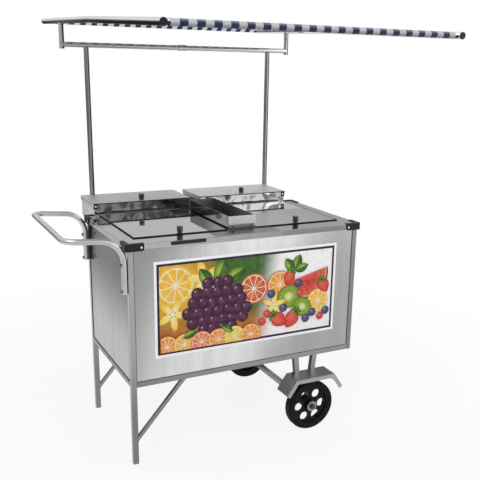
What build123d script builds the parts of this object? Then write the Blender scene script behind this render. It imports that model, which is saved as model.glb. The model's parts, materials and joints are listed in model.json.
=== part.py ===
from build123d import *
from math import atan2, cos, radians, sin, tan
import os

# Street cart for fruit salad: a steel cabinet on two legs and two wheels, with lidded tubs in the
# deck, an open trough between them, two lidded boxes behind, a push handle and a fabric canopy.
# Millimetres. X runs along the cart with the handle at -X, the picture is on the -Y side, Z is up.
# The sizes are counted from the middle of the deck on the floor; the origin that is written out
# lies under the middle of the whole cart, canopy and handle included.

# Deck and cabinet
DECK_LENGTH = 1160.0
DECK_WIDTH = 660.0
DECK_TOP = 1018.0
DECK_SHEET = 1.5
DECK_LIP = 25.0
DECK_CORNER = 4.0
FRAME_INSET = 8.0
FRAME_BOTTOM = 372.0
TUBE = 25.0
TUBE_WALL = 1.5
TUBE_CORNER = 2.5
FOOT_SHEET = 3.0
PANEL_SHEET = 1.5
PANEL_RECESS = 3.0
PICTURE_WIDTH = 920.0
PICTURE_HEIGHT = 438.0
PICTURE_TOP_GAP = 60.5
PICTURE_SHEET = 0.8

# Leg braces
BRACE_BAR = 16.0
BRACE_RUN = 232.0
BRACE_DROP = 264.0

# Corner guards and rivets
WING_LENGTH = 77.0
WING_HEIGHT = 33.0
WING_WALL = 3.0
WING_FLANGE = 14.0
WING_CORNER = 7.0
WING_END_ROUND = 9.0
WING_CLEAR = 3.0
RIVET_RADIUS = 4.5
RIVET_HEIGHT = 1.6
RIVET_CROWN = 1.1
RIVET_SLOPE = 2.0
RIVET_EDGE = 12.0

# Front lids
LID_TROUGH_GAP = 8.0
LID_END_MARGIN = 64.0
LID_FRONT_MARGIN = 101.0
LID_REAR_MARGIN = 32.0
LID_SHEET = 1.5
LID_LIFT = 2.6
LID_SEAT_GAP = 0.5
EDGING = 5.0
EDGING_BITE = 2.0
EDGING_PROUD = 0.3
LID_KNOB_SETBACK = 24.0
KNOB_RADIUS = 13.5
KNOB_FOOT_RADIUS = 11.0
KNOB_FOOT = 5.0
KNOB_HEIGHT = 30.0
KNOB_EDGE = 3.0

# Hinges
HINGE_RADIUS = 3.0
HINGE_PIN = 1.6
HINGE_FIT = 0.05
HINGE_LEAF = 1.2
HINGE_LEAF_WIDTH = 16.0
HINGE_CLEAR = 0.3
HINGE_INSET = 30.0
HINGE_KNUCKLES = 5
HINGE_GAP = 0.5
HINGE_PIN_END = 2.0

# Tubs under the front lids
TUB_SIDE_MARGIN = 24.0
TUB_FRONT_MARGIN = 31.0
TUB_REAR_MARGIN = 36.0
TUB_DEPTH = 300.0
TUB_SHEET = 1.2
TUB_CORNER = 40.0
TUB_FLANGE = 12.0
TUB_CLEAR = 0.5
INSULATION = 25.0

# Open trough between the lids
TROUGH_HALF = 66.0
TROUGH_FRONT_SETBACK = 5.0
TROUGH_REAR_SETBACK = 66.0
TROUGH_RISE = 61.0
TROUGH_DEPTH = 200.0
TROUGH_SHEET = 1.5
TROUGH_CLEAR = 0.3
ANGLE_HALF = 64.0
ANGLE_LEG = 22.0
ANGLE_FOOT = 8.0
ANGLE_SHEET = 2.0
SCREW_RADIUS = 4.0
SCREW_HEAD = 2.5
SCREW_X = 46.0

# Boxes behind the deck
BOX_INNER = 31.0
BOX_END_MARGIN = 50.0
BOX_DEPTH = 240.0
BOX_DROP = 46.0
BOX_SHEET = 1.5
BOX_LID_RISE = 56.0
BOX_LID_GAP = 3.0
BOX_LID_SIDE_GAP = 2.8
BOX_LID_OVERHANG = 6.5
BOX_LID_LIP = 20.0
BOX_STRIP_SETBACK = 1.0
BOX_STRIP = 3.0
BOX_STRIP_HEIGHT = 5.0
BOX_KNOB_SETBACK = 32.0
GUARD_WING = 16.0
GUARD_WALL = 2.0
GUARD_HEIGHT = 26.0

# Push handle
GRIP_RADIUS = 12.5
GRIP_WALL = 1.5
GRIP_REACH = 243.0
GRIP_RISE = 31.0
GRIP_SHOULDER_RISE = 12.0
GRIP_STUB = 226.0
GRIP_SHOULDER_BEND = 100.0
GRIP_CORNER_BEND = 52.0
GRIP_CLEAR = 0.3
BOLT_RADIUS = 4.0
BOLT_FIT = 0.2
BOLT_HEAD_RADIUS = 7.0
BOLT_HEAD = 5.0
BOLT_REACH = 8.0
BOLT_STUB_EDGE = 11.0
BOLT_SPACING = 115.0

# Axle, struts and fenders
AXLE_INSET = 246.0
WHEEL_RADIUS = 125.0
SHAFT_RADIUS = 8.0
SHAFT_FIT = 0.05
SHAFT_END = 3.0
BEAM_PLUG = 20.0
STRUT_TOP_SPREAD = 56.0
STRUT_FOOT_SPREAD = 28.0
STRUT_TOP_GAP = 1.0
SADDLE_LENGTH = 92.0
SADDLE_SHEET = 6.0
FENDER_GAP = 40.0
FENDER_BEND_SETBACK = 18.0
FENDER_SLOPE_RUN = 50.0
FENDER_SLOPE_DROP = 73.0
FENDER_OVERHANG = 34.0
FENDER_SHEET = 3.0
FENDER_LIP = 20.0

# Wheels
WHEEL_GAP = 1.0
TYRE_THICKNESS = 25.0
TYRE_WIDTH = 45.0
TYRE_SHOULDER = 9.0
TYRE_FIT = 0.15
TYRE_SETOUT = 24.0
RIM_WALL = 9.0
RIM_MARGIN = 2.0
WEB = 10.0
WEB_SETBACK = 12.0
HUB_RADIUS = 28.0
HUB_LENGTH = 74.0
WHEEL_HOLES = 6
WHEEL_HOLE_RADIUS = 22.0
WHEEL_HOLE_CIRCLE = 63.5
BUSH_WALL = 3.0
BUSH_FIT = 0.05
WASHER_RADIUS = 26.0
WASHER = 3.0
WASHER_GAP = 0.3
NUT_ACROSS_FLATS = 24.0
NUT_HEIGHT = 9.0

# Canopy and its posts
POST_RADIUS = 12.5
POST_WALL = 1.5
POST_INSET = 22.0
POST_SHIFT = 42.0
POST_BEHIND_BOX = 28.0
SOCKET_FIT = 0.1
SOCKET_WALL = 3.4
SOCKET_DEPTH = 112.0
SOCKET_FLOOR = 4.0
FOOT_PLATE_WIDTH = 44.0
FOOT_PLATE_BELOW = 12.0
FOOT_PLATE = 4.0
BAR_HEIGHT = 1815.0
BAR_SLEEVE = 2.5
BAR_SLEEVE_LENGTH = 44.0
UPRIGHT_BELOW_BAR = 20.0
CANOPY_OVERHANG = 132.0
CANOPY_FRONT_REACH = 1398.0
CANOPY_FRONT_RISE = 51.0
CANOPY_RIDGE_REACH = 523.0
CANOPY_RIDGE_RISE = 93.0
CANOPY_REAR_REACH = 352.0
CANOPY_REAR_RISE = 120.0
CANOPY_RIDGE_BEND = 120.0
LONG_TUBE_RADIUS = 11.0
END_TUBE_RADIUS = 14.0
END_TUBE_REACH = 18.0
END_CAP = 6.0
END_CAP_EDGE = 2.5
END_CAP_PLUG = 18.0
FABRIC_INSET = 42.0
FABRIC = 2.0
FABRIC_CLEAR = 0.3

# Places that follow from the sizes above
FRAME_X = DECK_LENGTH / 2 - FRAME_INSET
FRAME_Y = DECK_WIDTH / 2 - FRAME_INSET
FRAME_TOP = DECK_TOP - DECK_SHEET
INNER_X = FRAME_X - TUBE
INNER_Y = FRAME_Y - TUBE
CORNER_X = FRAME_X - TUBE / 2
CORNER_Y = FRAME_Y - TUBE / 2
RAIL_TOP = FRAME_BOTTOM + TUBE
PICTURE_MIDDLE = FRAME_TOP - TUBE - PICTURE_TOP_GAP - PICTURE_HEIGHT / 2

LID_INNER = TROUGH_HALF + LID_TROUGH_GAP
LID_OUTER = DECK_LENGTH / 2 - LID_END_MARGIN
LID_MIDDLE = (LID_INNER + LID_OUTER) / 2
LID_FRONT = LID_FRONT_MARGIN - DECK_WIDTH / 2
LID_REAR = DECK_WIDTH / 2 - LID_REAR_MARGIN
LID_HINGE_Y = LID_REAR + HINGE_CLEAR + HINGE_RADIUS
LID_HINGE_Z = DECK_TOP + HINGE_CLEAR + HINGE_RADIUS
LID_BOTTOM = DECK_TOP + LID_LIFT
LID_TOP = LID_BOTTOM + LID_SHEET

TUB_INNER = LID_INNER + TUB_SIDE_MARGIN
TUB_OUTER = LID_OUTER - TUB_SIDE_MARGIN
TUB_FRONT = LID_FRONT + TUB_FRONT_MARGIN
TUB_REAR = LID_REAR - TUB_REAR_MARGIN
TROUGH_FRONT = LID_FRONT + TROUGH_FRONT_SETBACK
TROUGH_REAR = LID_REAR - TROUGH_REAR_SETBACK
TROUGH_TOP = DECK_TOP + TROUGH_RISE

BOX_OUTER = DECK_LENGTH / 2 - BOX_END_MARGIN
BOX_MIDDLE = (BOX_INNER + BOX_OUTER) / 2
BOX_FRONT = DECK_WIDTH / 2
BOX_REAR = BOX_FRONT + BOX_DEPTH
BOX_BOTTOM = DECK_TOP - BOX_DROP
BOX_LID_TOP = DECK_TOP + BOX_LID_RISE
BOX_LID_BOTTOM = BOX_LID_TOP - LID_SHEET
BOX_TOP = BOX_LID_BOTTOM - BOX_LID_GAP
BOX_LID_FRONT = BOX_FRONT - BOX_LID_OVERHANG
BOX_HINGE_Y = BOX_REAR + HINGE_CLEAR + HINGE_RADIUS
BOX_HINGE_Z = BOX_LID_BOTTOM - HINGE_CLEAR - HINGE_RADIUS

GRIP_X = -(FRAME_X + GRIP_CLEAR + GRIP_RADIUS)
GRIP_END_X = GRIP_X - GRIP_REACH
GRIP_TOP = DECK_TOP + GRIP_RISE
GRIP_SHOULDER = DECK_TOP + GRIP_SHOULDER_RISE
GRIP_STUB_BOTTOM = GRIP_SHOULDER - GRIP_STUB
BOLT_LOW = GRIP_STUB_BOTTOM + BOLT_STUB_EDGE
BOLT_HEIGHTS = (BOLT_LOW, BOLT_LOW + BOLT_SPACING)

AXLE_X = FRAME_X - AXLE_INSET
AXLE_Z = WHEEL_RADIUS
FENDER_TOP = 2 * WHEEL_RADIUS + FENDER_GAP
FENDER_HALF = WHEEL_RADIUS - FENDER_BEND_SETBACK
TYRE_INNER_RADIUS = WHEEL_RADIUS - TYRE_THICKNESS
HUB_INNER_Y = INNER_Y + WHEEL_GAP
HUB_OUTER_Y = HUB_INNER_Y + HUB_LENGTH
TYRE_INNER_Y = HUB_INNER_Y + TYRE_SETOUT
TYRE_OUTER_Y = TYRE_INNER_Y + TYRE_WIDTH
WEB_OUTER_Y = TYRE_OUTER_Y - WEB_SETBACK
FENDER_Y = TYRE_OUTER_Y + FENDER_OVERHANG
WASHER_Y = HUB_OUTER_Y + WASHER_GAP
NUT_Y = WASHER_Y + WASHER
SHAFT_Y = NUT_Y + NUT_HEIGHT + SHAFT_END
BUSH_RADIUS = SHAFT_RADIUS + SHAFT_FIT + BUSH_WALL
WHEEL_AXIS = Axis((AXLE_X, 0, AXLE_Z), (0, 1, 0))

POST_X = BOX_OUTER - POST_INSET
POST_Y = BOX_REAR + POST_BEHIND_BOX
ARM_Z = BOX_BOTTOM - TUBE / 2
POST_BOTTOM = BOX_BOTTOM - TUBE
SOCKET_BOTTOM = POST_BOTTOM - SOCKET_FLOOR
SOCKET_RADIUS = POST_RADIUS + SOCKET_FIT + SOCKET_WALL
CANOPY_HALF = POST_X + CANOPY_OVERHANG
CANOPY_FRONT = (POST_Y - CANOPY_FRONT_REACH, BAR_HEIGHT + CANOPY_FRONT_RISE)
CANOPY_RIDGE = (POST_Y - CANOPY_RIDGE_REACH, BAR_HEIGHT + CANOPY_RIDGE_RISE)
CANOPY_REAR = (POST_Y + CANOPY_REAR_REACH, BAR_HEIGHT + CANOPY_REAR_RISE)
END_TUBE_X = CANOPY_HALF - END_TUBE_RADIUS
FABRIC_HALF = CANOPY_HALF - FABRIC_INSET

# The written origin lies under the middle of the whole cart
FRONT_SLOPE = atan2(CANOPY_RIDGE[1] - CANOPY_FRONT[1], CANOPY_RIDGE[0] - CANOPY_FRONT[0])
REAR_SLOPE = atan2(CANOPY_REAR[1] - CANOPY_RIDGE[1], CANOPY_REAR[0] - CANOPY_RIDGE[0])
TUBE_AND_CAP = END_TUBE_REACH + END_CAP
CAP_FACE = END_TUBE_RADIUS - END_CAP_EDGE
CART_LEFT = GRIP_END_X - GRIP_RADIUS
CART_RIGHT = POST_SHIFT + CANOPY_HALF
CART_FRONT = CANOPY_FRONT[0] - TUBE_AND_CAP * cos(FRONT_SLOPE) - CAP_FACE * sin(FRONT_SLOPE)
CART_REAR = CANOPY_REAR[0] + TUBE_AND_CAP * cos(REAR_SLOPE) + CAP_FACE * sin(REAR_SLOPE)
TO_ORIGIN = Pos(-(CART_LEFT + CART_RIGHT) / 2, -(CART_FRONT + CART_REAR) / 2, 0)


def save(name, *shapes):
    """Write the solids of the shapes to one file, moved to the written origin."""
    solids = [TO_ORIGIN * solid for shape in shapes for solid in shape.solids()]
    export_step(Compound(children=solids), f"parts/{name}.step")


def save_shifted(name, *shapes):
    """Write shapes that follow the canopy's posts, which stand off the deck's middle."""
    save(name, *[Pos(POST_SHIFT, 0, 0) * shape for shape in shapes])


def block(x0, x1, y0, y1, z0, z1):
    """A block between two limits on each axis, given in either order."""
    middle = Pos((x0 + x1) / 2, (y0 + y1) / 2, (z0 + z1) / 2)
    return middle * Box(abs(x1 - x0), abs(y1 - y0), abs(z1 - z0))


def rod(start, end, radius):
    """A round rod from one point to another."""
    line = Vector(*end) - Vector(*start)
    return extrude(Plane(origin=start, z_dir=line) * Circle(radius), line.length)


def pipe(start, end, radius, wall):
    """A round tube from one point to another."""
    return rod(start, end, radius) - rod(start, end, radius - wall)


def square_tube(start, end):
    """A square frame tube along X, Y or Z."""
    line = Vector(*end) - Vector(*start)
    across = (1, 0, 0) if line.X == 0 else (0, 1, 0)
    inside = TUBE - 2 * TUBE_WALL
    outline = RectangleRounded(TUBE, TUBE, TUBE_CORNER)
    outline -= RectangleRounded(inside, inside, TUBE_CORNER - TUBE_WALL)
    return extrude(Plane(origin=start, x_dir=across, z_dir=line) * outline, line.length)


def prism_xz(points, y0, y1):
    """A prism over an outline of (x, z) points, from one y up to another."""
    outline = Plane.XZ * make_face(Polyline(*points, close=True))
    return Pos(0, y1, 0) * extrude(outline, y1 - y0)


def mirror_x(shape):
    """The same piece at the other end of the cart."""
    return mirror(shape, about=Plane.YZ)


def mirror_y(shape):
    """The same piece on the other long side of the cart."""
    return mirror(shape, about=Plane.XZ)


def make_legs_and_posts():
    """Corner tubes: two long legs at the handle end and two short posts over the wheels."""
    legs = []
    for y in (-CORNER_Y, CORNER_Y):
        leg = square_tube((-CORNER_X, y, 0), (-CORNER_X, y, FRAME_TOP))
        leg += Pos(-CORNER_X, y, FOOT_SHEET / 2) * Box(TUBE - TUBE_WALL, TUBE - TUBE_WALL, FOOT_SHEET)
        for z in BOLT_HEIGHTS:
            leg -= rod((-FRAME_X - TUBE_WALL, y, z), (-CORNER_X, y, z), BOLT_RADIUS + BOLT_FIT)
        legs.append(leg)
    save("left_legs", *legs)
    post = square_tube((CORNER_X, CORNER_Y, FRAME_BOTTOM), (CORNER_X, CORNER_Y, FRAME_TOP))
    save("right_posts", post, mirror_y(post))


def make_rails():
    """Two rings of four tubes between the corner tubes, at the floor and under the deck."""
    heights = {"bottom_rails": FRAME_BOTTOM + TUBE / 2, "top_rails": FRAME_TOP - TUBE / 2}
    for name, z in heights.items():
        rear = square_tube((-INNER_X, CORNER_Y, z), (INNER_X, CORNER_Y, z))
        right = square_tube((CORNER_X, -INNER_Y, z), (CORNER_X, INNER_Y, z))
        save(name, rear, mirror_y(rear), right, mirror_x(right))


def make_leg_braces():
    """A slanting bar from each long leg up to the rail above it."""
    slope = atan2(BRACE_DROP, BRACE_RUN)
    foot = FRAME_BOTTOM - BRACE_DROP
    head = -INNER_X + BRACE_RUN
    rear = prism_xz(
        [
            (-INNER_X, foot),
            (head, FRAME_BOTTOM),
            (head - BRACE_BAR / sin(slope), FRAME_BOTTOM),
            (-INNER_X, foot + BRACE_BAR / cos(slope)),
        ],
        CORNER_Y - BRACE_BAR / 2,
        CORNER_Y + BRACE_BAR / 2,
    )
    save("leg_braces", rear, mirror_y(rear))


def make_panels():
    """Sheets between the tubes, set a little behind their faces, with the floor and the picture."""
    high = FRAME_TOP - TUBE
    skin_x = FRAME_X - PANEL_RECESS
    skin_y = FRAME_Y - PANEL_RECESS
    back_y = skin_y - PANEL_SHEET
    rear = block(-INNER_X, INNER_X, back_y, skin_y, RAIL_TOP, high)
    right = block(skin_x - PANEL_SHEET, skin_x, -INNER_Y, INNER_Y, RAIL_TOP, high)
    save("rear_panel", rear)
    save("front_panel", mirror_y(rear))
    save("end_panels", right, mirror_x(right))
    save("floor_panel", block(-INNER_X, INNER_X, -back_y, back_y, RAIL_TOP, RAIL_TOP + PANEL_SHEET))
    picture = Pos(0, -skin_y - PICTURE_SHEET / 2, PICTURE_MIDDLE)
    save("front_picture", picture * Box(PICTURE_WIDTH, PICTURE_SHEET, PICTURE_HEIGHT))


def tub_plan(side, margin, z0, z1):
    """The inside of a tub, grown by a margin all round, from one height up to another."""
    length = TUB_OUTER - TUB_INNER + 2 * margin
    depth = TUB_REAR - TUB_FRONT + 2 * margin
    middle = Pos(side * (TUB_INNER + TUB_OUTER) / 2, (TUB_FRONT + TUB_REAR) / 2, z0)
    return middle * extrude(RectangleRounded(length, depth, TUB_CORNER + margin), z1 - z0)


def trough_plan(margin, z0, z1):
    """The outside of the trough, grown by a margin all round, from one height up to another."""
    half = TROUGH_HALF + margin
    return block(-half, half, TROUGH_FRONT - margin, TROUGH_REAR + margin, z0, z1)


def make_deck():
    """Folded deck sheet with its lip, and the openings that the tubs and the trough hang in."""
    lip_bottom = DECK_TOP - DECK_LIP
    top = Pos(0, 0, DECK_TOP - DECK_LIP / 2) * Box(DECK_LENGTH, DECK_WIDTH, DECK_LIP)
    top = fillet(top.edges().filter_by(Axis.Z), DECK_CORNER)
    top = fillet(top.faces().sort_by(Axis.Z)[-1].edges(), DECK_SHEET)
    half_x = DECK_LENGTH / 2 - DECK_SHEET
    half_y = DECK_WIDTH / 2 - DECK_SHEET
    top -= block(-half_x, half_x, -half_y, half_y, lip_bottom, FRAME_TOP)
    for side in (-1, 1):
        top -= tub_plan(side, TUB_SHEET + TUB_CLEAR, lip_bottom, DECK_TOP)
    top -= trough_plan(TROUGH_CLEAR, lip_bottom, DECK_TOP)
    save("deck_top", top)


def rivet(place, facing):
    """The low crowned head of a rivet on a face that looks along the given direction."""
    seat = Plane(origin=place, z_dir=facing)
    head = extrude(seat * Circle(RIVET_RADIUS), RIVET_HEIGHT)
    crown = head.faces().sort_by(Axis(place, facing))[-1]
    return chamfer(crown.edges(), RIVET_SLOPE, RIVET_CROWN, reference=crown)


def deck_guard(length_x):
    """The guard on the deck's corner at +X +Y, with the given length along X."""
    end_x = DECK_LENGTH / 2
    end_y = DECK_WIDTH / 2
    start_x = end_x - length_x
    start_y = end_y - WING_LENGTH
    top = DECK_TOP + WING_WALL
    bottom = top - WING_HEIGHT
    guard = block(start_x, end_x + WING_WALL, start_y, end_y + WING_WALL, bottom, top)
    corner = guard.edges().filter_by(Axis.Z).sort_by_distance((DECK_LENGTH, DECK_WIDTH, top))[0]
    guard = fillet(corner, WING_CORNER)
    guard -= block(start_x, end_x, start_y, end_y, bottom, DECK_TOP)
    guard -= block(start_x, end_x - WING_FLANGE, start_y, end_y - WING_FLANGE, bottom, top)
    x_wing_end = guard.edges().filter_by(Axis.Y).sort_by_distance((start_x, end_y, bottom))[0]
    y_wing_end = guard.edges().filter_by(Axis.X).sort_by_distance((end_x, start_y, bottom))[0]
    guard = fillet([x_wing_end, y_wing_end], WING_END_ROUND)
    middle = (DECK_TOP + bottom) / 2
    rivets = [
        rivet((start_x + RIVET_EDGE, end_y + WING_WALL, middle), (0, 1, 0)),
        rivet((end_x + WING_WALL, start_y + RIVET_EDGE, middle), (1, 0, 0)),
    ]
    return guard, rivets


def box_guard():
    """The short angle on the front outer edge of the box at +X, flush with the box's top."""
    start_x = BOX_OUTER - GUARD_WING
    bottom = BOX_TOP - GUARD_HEIGHT
    guard = block(start_x, BOX_OUTER + GUARD_WALL, BOX_FRONT - GUARD_WALL, BOX_FRONT + GUARD_WING,
                  bottom, BOX_TOP)
    guard -= block(start_x, BOX_OUTER, BOX_FRONT, BOX_FRONT + GUARD_WING, bottom, BOX_TOP)
    place = (start_x + GUARD_WING / 2, BOX_FRONT - GUARD_WALL, (bottom + BOX_TOP) / 2)
    return guard, [rivet(place, (0, -1, 0))]


def make_guards():
    """Black guards on the deck's corners and the boxes' front edges, with their rivets."""
    front_guard, front_rivets = deck_guard(WING_LENGTH)
    rear_guard, rear_rivets = deck_guard(DECK_LENGTH / 2 - BOX_OUTER - WING_CLEAR)
    edge_guard, edge_rivets = box_guard()
    right_guards = [mirror_y(front_guard), rear_guard, edge_guard]
    right_rivets = [mirror_y(head) for head in front_rivets] + rear_rivets + edge_rivets
    save("corner_guards", *right_guards, *[mirror_x(guard) for guard in right_guards])
    save("rivets", *right_rivets, *[mirror_x(head) for head in right_rivets])


def knob(x, y, z):
    """A turned knob with a narrow foot, standing on a lid."""
    outline = make_face(Polyline(
        (0, 0),
        (KNOB_FOOT_RADIUS, 0),
        (KNOB_FOOT_RADIUS, KNOB_FOOT / 2),
        (KNOB_RADIUS, KNOB_FOOT),
        (KNOB_RADIUS, KNOB_HEIGHT - KNOB_EDGE),
        (KNOB_RADIUS - KNOB_EDGE / 3, KNOB_HEIGHT - KNOB_EDGE / 3),
        (KNOB_RADIUS - KNOB_EDGE, KNOB_HEIGHT),
        (0, KNOB_HEIGHT),
        close=True,
    ))
    return Pos(x, y, z) * revolve(Plane.XZ * outline, Axis.Z)


def hinge(x0, x1, y, z, base_plate, lid_plate):
    """A knuckle hinge along X: the base with its plate, the lid's leaf with its plate, the pin."""
    pitch = (x1 - x0) / HINGE_KNUCKLES
    base, leaf = base_plate, lid_plate
    for index in range(HINGE_KNUCKLES):
        start = x0 + index * pitch
        room = rod((start - HINGE_GAP, y, z), (start + pitch, y, z), HINGE_RADIUS + HINGE_CLEAR)
        base, leaf = (base, leaf - room) if index % 2 == 0 else (base - room, leaf)
    for index in range(HINGE_KNUCKLES):
        start = x0 + index * pitch
        knuckle = rod((start, y, z), (start + pitch - HINGE_GAP, y, z), HINGE_RADIUS)
        base, leaf = (base + knuckle, leaf) if index % 2 == 0 else (base, leaf + knuckle)
    bore = rod((x0 - HINGE_GAP, y, z), (x1, y, z), HINGE_PIN + HINGE_FIT)
    pin = rod((x0 - HINGE_PIN_END, y, z), (x1 + HINGE_PIN_END, y, z), HINGE_PIN)
    return base - bore, leaf - bore, pin


def make_lids_and_boxes():
    """The two front lids and the two boxes with their lids, all hinged along their rear edges."""
    edge_x = (LID_INNER, LID_OUTER)
    lid = block(LID_INNER + EDGING - EDGING_BITE, LID_OUTER - EDGING + EDGING_BITE,
                LID_FRONT + EDGING - EDGING_BITE, LID_REAR, LID_BOTTOM, LID_TOP)
    edging = block(*edge_x, LID_FRONT, LID_REAR, DECK_TOP + LID_SEAT_GAP, LID_TOP + EDGING_PROUD)
    edging -= block(LID_INNER + EDGING, LID_OUTER - EDGING, LID_FRONT + EDGING, LID_REAR,
                    DECK_TOP, LID_TOP + EDGING_PROUD)
    edging -= lid
    lid_knob = knob(LID_MIDDLE, LID_FRONT + LID_KNOB_SETBACK, LID_TOP)
    lid_hinge_x = (LID_INNER + HINGE_INSET, LID_OUTER - HINGE_INSET)
    lid_base, lid_leaf, lid_pin = hinge(
        *lid_hinge_x, LID_HINGE_Y, LID_HINGE_Z,
        block(*lid_hinge_x, LID_HINGE_Y, LID_HINGE_Y + HINGE_LEAF_WIDTH,
              DECK_TOP, DECK_TOP + HINGE_LEAF),
        block(*lid_hinge_x, LID_HINGE_Y - HINGE_LEAF_WIDTH, LID_HINGE_Y,
              LID_BOTTOM - HINGE_LEAF, LID_BOTTOM),
    )

    box = block(BOX_INNER, BOX_OUTER, BOX_FRONT, BOX_REAR, BOX_BOTTOM, BOX_TOP)
    box -= block(BOX_INNER + BOX_SHEET, BOX_OUTER - BOX_SHEET, BOX_FRONT + BOX_SHEET,
                 BOX_REAR - BOX_SHEET, BOX_BOTTOM + BOX_SHEET, BOX_TOP)
    margin = BOX_LID_SIDE_GAP + LID_SHEET
    cover_x = (BOX_INNER - margin, BOX_OUTER + margin)
    strip_front = BOX_LID_FRONT + BOX_STRIP_SETBACK
    strip_rear = strip_front + BOX_STRIP
    cover = block(*cover_x, strip_rear, BOX_REAR, BOX_LID_TOP - BOX_LID_LIP, BOX_LID_TOP)
    cover -= block(cover_x[0] + LID_SHEET, cover_x[1] - LID_SHEET, strip_rear, BOX_REAR,
                   BOX_LID_TOP - BOX_LID_LIP, BOX_LID_BOTTOM)
    cover += block(*cover_x, BOX_LID_FRONT, BOX_HINGE_Y + HINGE_RADIUS, BOX_LID_BOTTOM, BOX_LID_TOP)
    strip = block(*cover_x, strip_front, strip_rear, BOX_LID_BOTTOM - BOX_STRIP_HEIGHT, BOX_LID_BOTTOM)
    box_knob = knob(BOX_MIDDLE, BOX_LID_FRONT + BOX_KNOB_SETBACK, BOX_LID_TOP)
    box_hinge_x = (BOX_INNER + HINGE_INSET, BOX_OUTER - 2 * HINGE_INSET)
    box_base, box_leaf, box_pin = hinge(
        *box_hinge_x, BOX_HINGE_Y, BOX_HINGE_Z,
        block(*box_hinge_x, BOX_REAR, BOX_REAR + HINGE_LEAF,
              BOX_HINGE_Z - HINGE_LEAF_WIDTH, BOX_HINGE_Z),
        block(*box_hinge_x, BOX_HINGE_Y - HINGE_LEAF_WIDTH, BOX_HINGE_Y,
              BOX_LID_BOTTOM - HINGE_LEAF, BOX_LID_BOTTOM),
    )

    pieces = {
        "lid": lid, "lid_edging": edging, "lid_knob": lid_knob, "lid_hinge_leaf": lid_leaf,
        "box": box, "box_lid": cover, "box_edging": strip, "box_knob": box_knob,
        "box_hinge_leaf": box_leaf,
    }
    for name, piece in pieces.items():
        save(f"right_{name}", piece)
        save(f"left_{name}", mirror_x(piece))
    save("hinge_bases", lid_base, box_base, mirror_x(lid_base), mirror_x(box_base))
    save("hinge_pins", lid_pin, box_pin, mirror_x(lid_pin), mirror_x(box_pin))


def make_tubs():
    """Flanged tubs hanging in the deck, each in a jacket of foam."""
    tub_top = DECK_TOP + TUB_SHEET
    tub_bottom = tub_top - TUB_DEPTH
    jackets = []
    for name, side in (("left_tub", -1), ("right_tub", 1)):
        tub = tub_plan(side, TUB_SHEET + TUB_FLANGE, DECK_TOP, tub_top)
        tub += tub_plan(side, TUB_SHEET, tub_bottom, tub_top)
        save(name, tub - tub_plan(side, 0, tub_bottom + TUB_SHEET, tub_top))
        margin = TUB_SHEET + TUB_CLEAR
        jacket = tub_plan(side, margin + INSULATION, tub_bottom - INSULATION, FRAME_TOP)
        jackets.append(jacket - tub_plan(side, margin, tub_bottom, FRAME_TOP))
    save("tub_insulation", *jackets)


def make_trough():
    """Open trough standing up through the deck, with the angle and screws at its front."""
    bottom = TROUGH_TOP - TROUGH_DEPTH
    trough = trough_plan(0, bottom, TROUGH_TOP)
    trough -= trough_plan(-TROUGH_SHEET, bottom + TROUGH_SHEET, TROUGH_TOP)
    save("trough", trough)
    angle = block(-ANGLE_HALF, ANGLE_HALF, TROUGH_FRONT - ANGLE_FOOT, TROUGH_FRONT,
                  DECK_TOP, DECK_TOP + ANGLE_LEG)
    angle -= block(-ANGLE_HALF, ANGLE_HALF, TROUGH_FRONT - ANGLE_FOOT, TROUGH_FRONT - ANGLE_SHEET,
                   DECK_TOP + ANGLE_SHEET, DECK_TOP + ANGLE_LEG)
    save("trough_angle", angle)
    face_y = TROUGH_FRONT - ANGLE_SHEET
    screw_z = DECK_TOP + (ANGLE_SHEET + ANGLE_LEG) / 2
    screw = rod((SCREW_X, face_y, screw_z), (SCREW_X, face_y - SCREW_HEAD, screw_z), SCREW_RADIUS)
    save("trough_screws", screw, mirror_x(screw))


def make_handle():
    """Bent push handle bolted to the outer faces of the two long legs."""
    corners = [
        (GRIP_X, -CORNER_Y, GRIP_STUB_BOTTOM),
        (GRIP_X, -CORNER_Y, GRIP_SHOULDER),
        (GRIP_END_X, -CORNER_Y, GRIP_TOP),
        (GRIP_END_X, CORNER_Y, GRIP_TOP),
        (GRIP_X, CORNER_Y, GRIP_SHOULDER),
        (GRIP_X, CORNER_Y, GRIP_STUB_BOTTOM),
    ]
    bends = (GRIP_SHOULDER_BEND, GRIP_CORNER_BEND, GRIP_CORNER_BEND, GRIP_SHOULDER_BEND)
    path = FilletPolyline(*corners, radius=bends)
    ring = Circle(GRIP_RADIUS) - Circle(GRIP_RADIUS - GRIP_WALL)
    handle = sweep(Plane(origin=corners[0], z_dir=(0, 0, 1)) * ring, path)
    bolts = []
    head_x = GRIP_X - GRIP_RADIUS
    for y in (-CORNER_Y, CORNER_Y):
        for z in BOLT_HEIGHTS:
            tip_x = -FRAME_X + BOLT_REACH
            handle -= rod((head_x, y, z), (-FRAME_X, y, z), BOLT_RADIUS + BOLT_FIT)
            bolt = rod((head_x, y, z), (tip_x, y, z), BOLT_RADIUS)
            bolts.append(bolt + rod((head_x - BOLT_HEAD, y, z), (head_x, y, z), BOLT_HEAD_RADIUS))
    save("push_handle", handle)
    save("handle_bolts", *bolts)


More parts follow.
